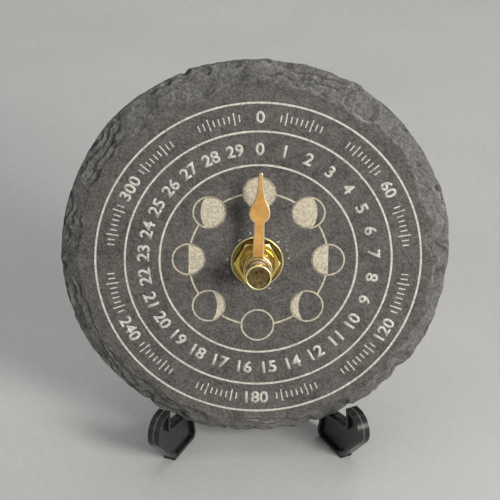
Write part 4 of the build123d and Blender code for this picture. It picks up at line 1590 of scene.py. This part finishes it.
@dataclass
class MoonHand(SubAssembly):
    """The spade hand, the pipe that it sits on and the closed cap.

    Attributes:
        edge: width of the bright cut facet round the hand's face, its paleness partly painted highlight.
        fall: fall of that facet.
        corner: rounding of the sheet's corners.
        hub: height above the axis where the stem meets the hub.
        pipe_edge: rounding of the pipe's edges.
        rim: width of the cap's rim, in brighter brass as painted highlight.
        cap_edge: rounding of the cap's edges.
        cap_steps: faces round the cap.
        flat: least lean of a face that belongs to the hand's flats.
        front: least forward lean of a face that belongs to the hand's or the cap's front.
        eased: least forward lean of a face that belongs to the cap's rim.
    """

    edge: float = 0.3
    fall: float = 0.1
    corner: float = 0.08
    hub: float = 3.9
    pipe_edge: float = 0.1
    rim: float = 0.45
    cap_edge: float = 0.06
    cap_steps: int = 96
    flat: float = 0.985
    front: float = 0.9
    eased: float = 0.1

    def build_hand(self) -> None:
        """The hand, lacquered on its face, bright on its cut edge, partly as painted highlight, and darker on
        its hub as painted shade.
        """
        piece = Bench.copy_node("hand_spade", "moon_hand", DIAL.matrix())
        top = DIAL.span("moon_hand")[1].z - 0.01
        with Bench.editing(piece):
            Bench.pick(piece, lambda face: face.normal.z > self.front and face.calc_center_median().z > top)
            bpy.ops.transform.translate(value=(0.0, 0.0, -self.fall))
            bpy.ops.mesh.inset(thickness=self.edge, depth=self.fall)
            bpy.ops.mesh.select_all(action="SELECT")
            bpy.ops.mesh.bisect(plane_co=(0.0, self.hub, 0.0), plane_no=(0.0, 1.0, 0.0))
        Bench.rounded(piece, self.corner, 2, 40.0)

        def choice(face: bpy.types.MeshPolygon) -> int:
            """1 on the facets and sides, 2 on the hub's flats."""
            return 1 if abs(face.normal.z) < self.flat else 2 if face.center.y < self.hub else 0

        # facets and sides take the bright cut gold, partly painted highlight; the hub's flats take painted
        # shade
        self.coloured(piece, (HAND_GOLD, HAND_BRIGHT_CUT_AND_HIGHLIGHT, HAND_HUB_PAINTED_SHADE), choice)
        self.seated(piece, Body.HAND, Slot.HAND_GOLD, HAND_GOLD, "moon_hand")

    def build_pipe(self) -> None:
        """The arbor, bright where it shows between hand and cap."""
        piece = Bench.copy_node("arbor_turned", "hand_arbor", DIAL.matrix())
        Bench.rounded(piece, self.pipe_edge, 2, 40.0)
        self.seated(piece, Body.HAND, Slot.STEEL, PIPE, "hand_arbor")

    def build_cap(self) -> None:
        """The short closed cap: polished side, a rim in brighter brass as painted highlight and an end in
        dark speckled brass as painted dark reflection.
        """
        low, high = DIAL.span("cap_nut")
        radius, rim = high.x, self.rim
        section = [
            (0.0, low.z + 0.2),
            (radius - 0.9, low.z + 0.2),
            (radius - 0.7, low.z),
            (radius - 0.25, low.z),
            (radius, low.z + 0.25),
            (radius, high.z - 0.8 * rim),
            (radius - 0.35 * rim, high.z - 0.2 * rim),
            (radius - 0.8 * rim, high.z),
            (radius - 1.1 * rim, high.z - 0.1),
            (0.0, high.z - 0.04),
        ]
        piece = Bench.turned("cap_closed", section, self.cap_steps)
        Bench.rounded(piece, self.cap_edge, 2, 25.0)

        def choice(face: bpy.types.MeshPolygon) -> int:
            """1 on the end, 2 on the rim."""
            end = face.normal.z > self.front and math.hypot(*face.center.xy) < radius - 1.05 * rim
            return 1 if end else 2 if face.normal.z > self.eased else 0

        # the end takes painted dark reflection, the rim painted highlight
        self.coloured(piece, (BRASS, CAP_END_PAINTED_REFLECTION, BRASS_PAINTED_HIGHLIGHT), choice)
        self.seated(piece, Body.HAND, Slot.BRASS, BRASS, "cap_nut", angle=30.0)

    def build(self) -> None:
        """Makes the hand, its pipe and its cap."""
        self.build_hand()
        self.build_pipe()
        self.build_cap()


@dataclass
class Movement(SubAssembly):
    """The movement's outside: case, cover and setting knob.

    Attributes:
        case_edge: rounding of the case's edges.
        cover_edge: rounding of the cover's edges.
        knob_edge: rounding of the knob's edges.
    """

    case_edge: float = 0.35
    cover_edge: float = 0.2
    knob_edge: float = 0.25

    def build(self) -> None:
        """Softens the edges of the case, its cover and the knob."""
        shells = (
            ("case_moulded", "case_front", self.case_edge, Body.CLOCK, Slot.CASE, CASE_BLACK),
            ("cover_moulded", "rear_cover", self.cover_edge, Body.CLOCK, Slot.CASE, CASE_BLACK),
            ("knob_fluted", "set_knob", self.knob_edge, Body.KNOB, Slot.KNOB, KNOB_BLACK),
        )
        for name, node, edge, body, slot, finish in shells:
            piece = Bench.copy_node(name, node, DIAL.matrix())
            Bench.rounded(piece, edge, 2, 40.0)
            self.seated(piece, body, slot, finish, node)


@dataclass
class Cell(SubAssembly):
    """The AA cell in its plain jacket.

    Attributes:
        band: share of the jacket's length that is the pale band at the plus end.
        lip: rounding of the jacket's ends.
        nub: height of the plus end's nub.
        bare: share of the radius inside which the ends are bare metal.
        steps: faces round the cell.
    """

    band: float = 0.24
    lip: float = 0.7
    nub: float = 1.6
    bare: float = 0.80
    steps: int = 72

    def build(self) -> None:
        """Turns the cell and colours its jacket and ends."""
        low, high = DIAL.span("battery")
        radius, length = (high.z - low.z) / 2, high.x - low.x
        head, seam = length - self.nub, (1 - self.band) * length
        section = [
            (0.0, 0.25),
            (0.55 * radius, 0.25),
            (0.62 * radius, 0.0),
            (self.bare * radius, 0.0),
            (0.84 * radius, 0.3),
            (radius - self.lip, 0.12),
            (radius - 0.3 * self.lip, 0.3 * self.lip),
            (radius, self.lip + 0.12),
            (radius, seam),
            (radius, head - self.lip),
            (radius - 0.3 * self.lip, head - 0.3 * self.lip),
            (radius - self.lip, head),
            (0.78 * radius, head - 0.25),
            (0.42 * radius, head - 0.05),
            (0.36 * radius, head + 0.15),
            (0.36 * radius, length - 0.3),
            (0.31 * radius, length),
            (0.0, length),
        ]
        piece = Bench.turned("cell_jacketed", section, self.steps)

        def choice(face: bpy.types.MeshPolygon) -> int:
            """2 on the bare ends, 1 on the pale band."""
            bare = math.hypot(*face.center.xy) < self.bare * radius
            return 2 if bare else 1 if face.center.z > seam else 0

        self.coloured(piece, (JACKET, JACKET_BAND, NICKEL), choice)
        along = Matrix.Translation((low.x, (low.y + high.y) / 2, (low.z + high.z) / 2))
        place = DIAL.matrix() @ along @ Matrix.Rotation(math.pi / 2, 4, "Y")
        self.seated(piece, Body.BATTERY, Slot.BATTERY, JACKET, "battery", place, 30.0)


@dataclass
class StandHalf(SubAssembly):
    """One moulded half of the easel.

    Attributes:
        body: the body that it rides on, which has its CAD node's name.
        edge: rounding of its edges.
        dark: colour in the low spots of its grain.
        light: colour in its high spots.
        rough: lowest and highest roughness.
    """

    body: Body
    edge: float = 0.45
    dark: Colour = (0.005, 0.005, 0.005)
    light: Colour = (0.016, 0.0155, 0.0155)
    rough: Span = (0.20, 0.36)

    def build(self) -> None:
        """Softens the half's edges and finds where its parting line runs."""
        node = self.body.value
        piece = Bench.copy_node(node + "_moulded", node, FRAME_PLACE)
        web = max(piece.data.polygons, key=lambda face: face.area * (abs(face.normal.z) < 0.1))
        across = web.normal.copy()
        reach = [across.dot(vertex.co) for vertex in piece.data.vertices if vertex.co.y < 0.0]
        Bench.rounded(piece, self.edge, 3, 35.0)
        finish = SeamFinish(
            node + "_black", self.dark, self.light, grain=0.25, rough=self.rough, metallic=0.0, relief=0.012,
            across=tuple(across), middle=(min(reach) + max(reach)) / 2,
        )
        self.seated(piece, self.body, Slot.STAND, finish, node, FRAME_PLACE)


@dataclass(frozen=True)
class Lamp:
    """A square soft light that faces the dial.

    Attributes:
        name: name of the light.
        place: where it stands, in metres.
        size: its width in metres.
        power: its power in watts.
        tint: its colour.
        spread: angle of its beam in degrees.
    """

    name: str
    place: Triple
    size: float
    power: float
    tint: Colour
    spread: float = 180.0

    def build(self) -> None:
        """Sets the light up."""
        light = bpy.data.lights.new(self.name, "AREA")
        light.shape = "SQUARE"
        light.size = self.size
        light.energy = self.power
        light.color = self.tint
        light.spread = math.radians(self.spread)
        lamp = bpy.data.objects.new(self.name, light)
        bpy.context.scene.collection.objects.link(lamp)
        lamp.location = self.place
        lamp.rotation_euler = (DIAL.centre - Vector(self.place)).to_track_quat("-Z", "Y").to_euler()


@dataclass
class Studio:
    """Floor, soft lights and the camera at the photograph's angle.

    Attributes:
        floor: width of the floor in metres.
        floor_place: the floor's middle.
        lamps: the lights.
        below: grey of the world below the horizon.
        above: grey of the world from the height of horizon up.
        horizon: height on the unit sphere at which the world is at its brightest.
        glow: strength of the world.
        image: width of the picture in pixels.
        focal: focal length in pixels.
        distance: metres from the dial's centre.
        azimuth: degrees round the clock, from straight in front.
        elevation: degrees above the horizon.
        dial_pixel: where the hand's axis meets the slate in the picture.
        sensor: width of the camera's sensor in mm.
    """

    floor: float = 3.2
    floor_place: Triple = (0.0, 0.2, 0.0)
    lamps: Tuple[Lamp, ...] = (
        Lamp("key", (0.44, -0.55, 0.34), 0.26, 2.0, (1.0, 0.97, 0.93), 110.0),
        Lamp("fill", (-0.75, -0.60, 0.50), 0.70, 0.6, (0.94, 0.97, 1.0)),
        Lamp("top", (0.05, 0.15, 0.95), 0.60, 1.6, (1.0, 1.0, 1.0)),
        Lamp("back", (0.35, 0.80, 0.55), 0.60, 2.4, (1.0, 0.98, 0.95)),
    )
    below: Colour = (0.10, 0.10, 0.10)
    above: Colour = (0.55, 0.55, 0.56)
    horizon: float = 0.55
    glow: float = 0.55
    image: int = 500
    focal: float = 2750.0
    distance: float = 0.78
    azimuth: float = -1.5
    elevation: float = 30.0
    dial_pixel: Corner = (257.1, 261.0)
    sensor: float = 36.0

    def build_floor(self) -> None:
        """A pale floor under the stand."""
        Bench.clear()
        bpy.ops.mesh.primitive_plane_add(size=self.floor, location=self.floor_place)
        floor = Bench.named("floor")
        Bench.only(floor)
        bpy.ops.object.transform_apply(location=True, rotation=True, scale=True)
        floor.data.materials.append(FLOOR.material())

    def build_world(self) -> None:
        """Even grey light from all round, darker below the horizon."""
        world = bpy.data.worlds.new("studio")
        world.use_nodes = True
        bpy.context.scene.world = world
        nodes, links = world.node_tree.nodes, world.node_tree.links
        sky = nodes.new("ShaderNodeTexCoord")
        split = nodes.new("ShaderNodeSeparateXYZ")
        ramp = nodes.new("ShaderNodeValToRGB")
        stops = ((0.0, self.below), (self.horizon, self.above))
        for stop, (position, colour) in zip(ramp.color_ramp.elements, stops):
            stop.position = position
            stop.color = (*colour, 1.0)
        links.new(sky.outputs["Generated"], split.inputs["Vector"])
        links.new(split.outputs["Z"], ramp.inputs["Fac"])
        links.new(ramp.outputs["Color"], nodes["Background"].inputs["Color"])
        nodes["Background"].inputs["Strength"].default_value = self.glow

    def build_camera(self) -> None:
        """The camera, placed by where the dial's centre shows."""
        turn, lift = math.radians(self.azimuth), math.radians(self.elevation)
        flat = math.cos(lift)
        toward = Vector((math.sin(turn) * flat, -math.cos(turn) * flat, math.sin(lift)))
        right = Vector((math.cos(turn), math.sin(turn), 0.0))
        above = toward.cross(right)
        pixel = self.distance / self.focal
        aim = DIAL.centre - right * (self.dial_pixel[0] - self.image / 2) * pixel
        aim = aim + above * (self.dial_pixel[1] - self.image / 2) * pixel
        lens = bpy.data.cameras.new("camera")
        lens.sensor_width = self.sensor
        lens.lens = self.focal / self.image * self.sensor
        lens.clip_start = 0.01
        camera = bpy.data.objects.new("camera", lens)
        bpy.context.scene.collection.objects.link(camera)
        camera.location = aim + toward * self.distance
        camera.rotation_euler = (-toward).to_track_quat("-Z", "Y").to_euler()
        bpy.context.scene.camera = camera

    def build(self) -> None:
        """Sets up the studio."""
        self.build_floor()
        self.build_world()
        for lamp in self.lamps:
            lamp.build()
        self.build_camera()
        bpy.context.scene.view_settings.view_transform = "Standard"


def dress_inside() -> None:
    """Gives each CAD node that stays its own finish."""
    for node, finish in KEPT_NODES.items():
        mesh = frame["nodes"][node].data
        mesh.materials.clear()
        mesh.materials.append(finish.material())
        LOG.info("%s dressed in %s", node, finish.name)


def main() -> None:
    """Builds the clock's looks around the frame."""
    logging.basicConfig(level=logging.INFO, format="%(name)s: %(message)s")
    slate = SlateDial()
    slate.build()
    Engraving(slate).build()
    ClampHardware().build()
    MoonHand().build()
    Movement().build()
    Cell().build()
    StandHalf(Body.STAND_LEFT).build()
    StandHalf(Body.STAND_RIGHT).build()
    dress_inside()
    Studio().build()


if __name__ == "__main__":
    main()
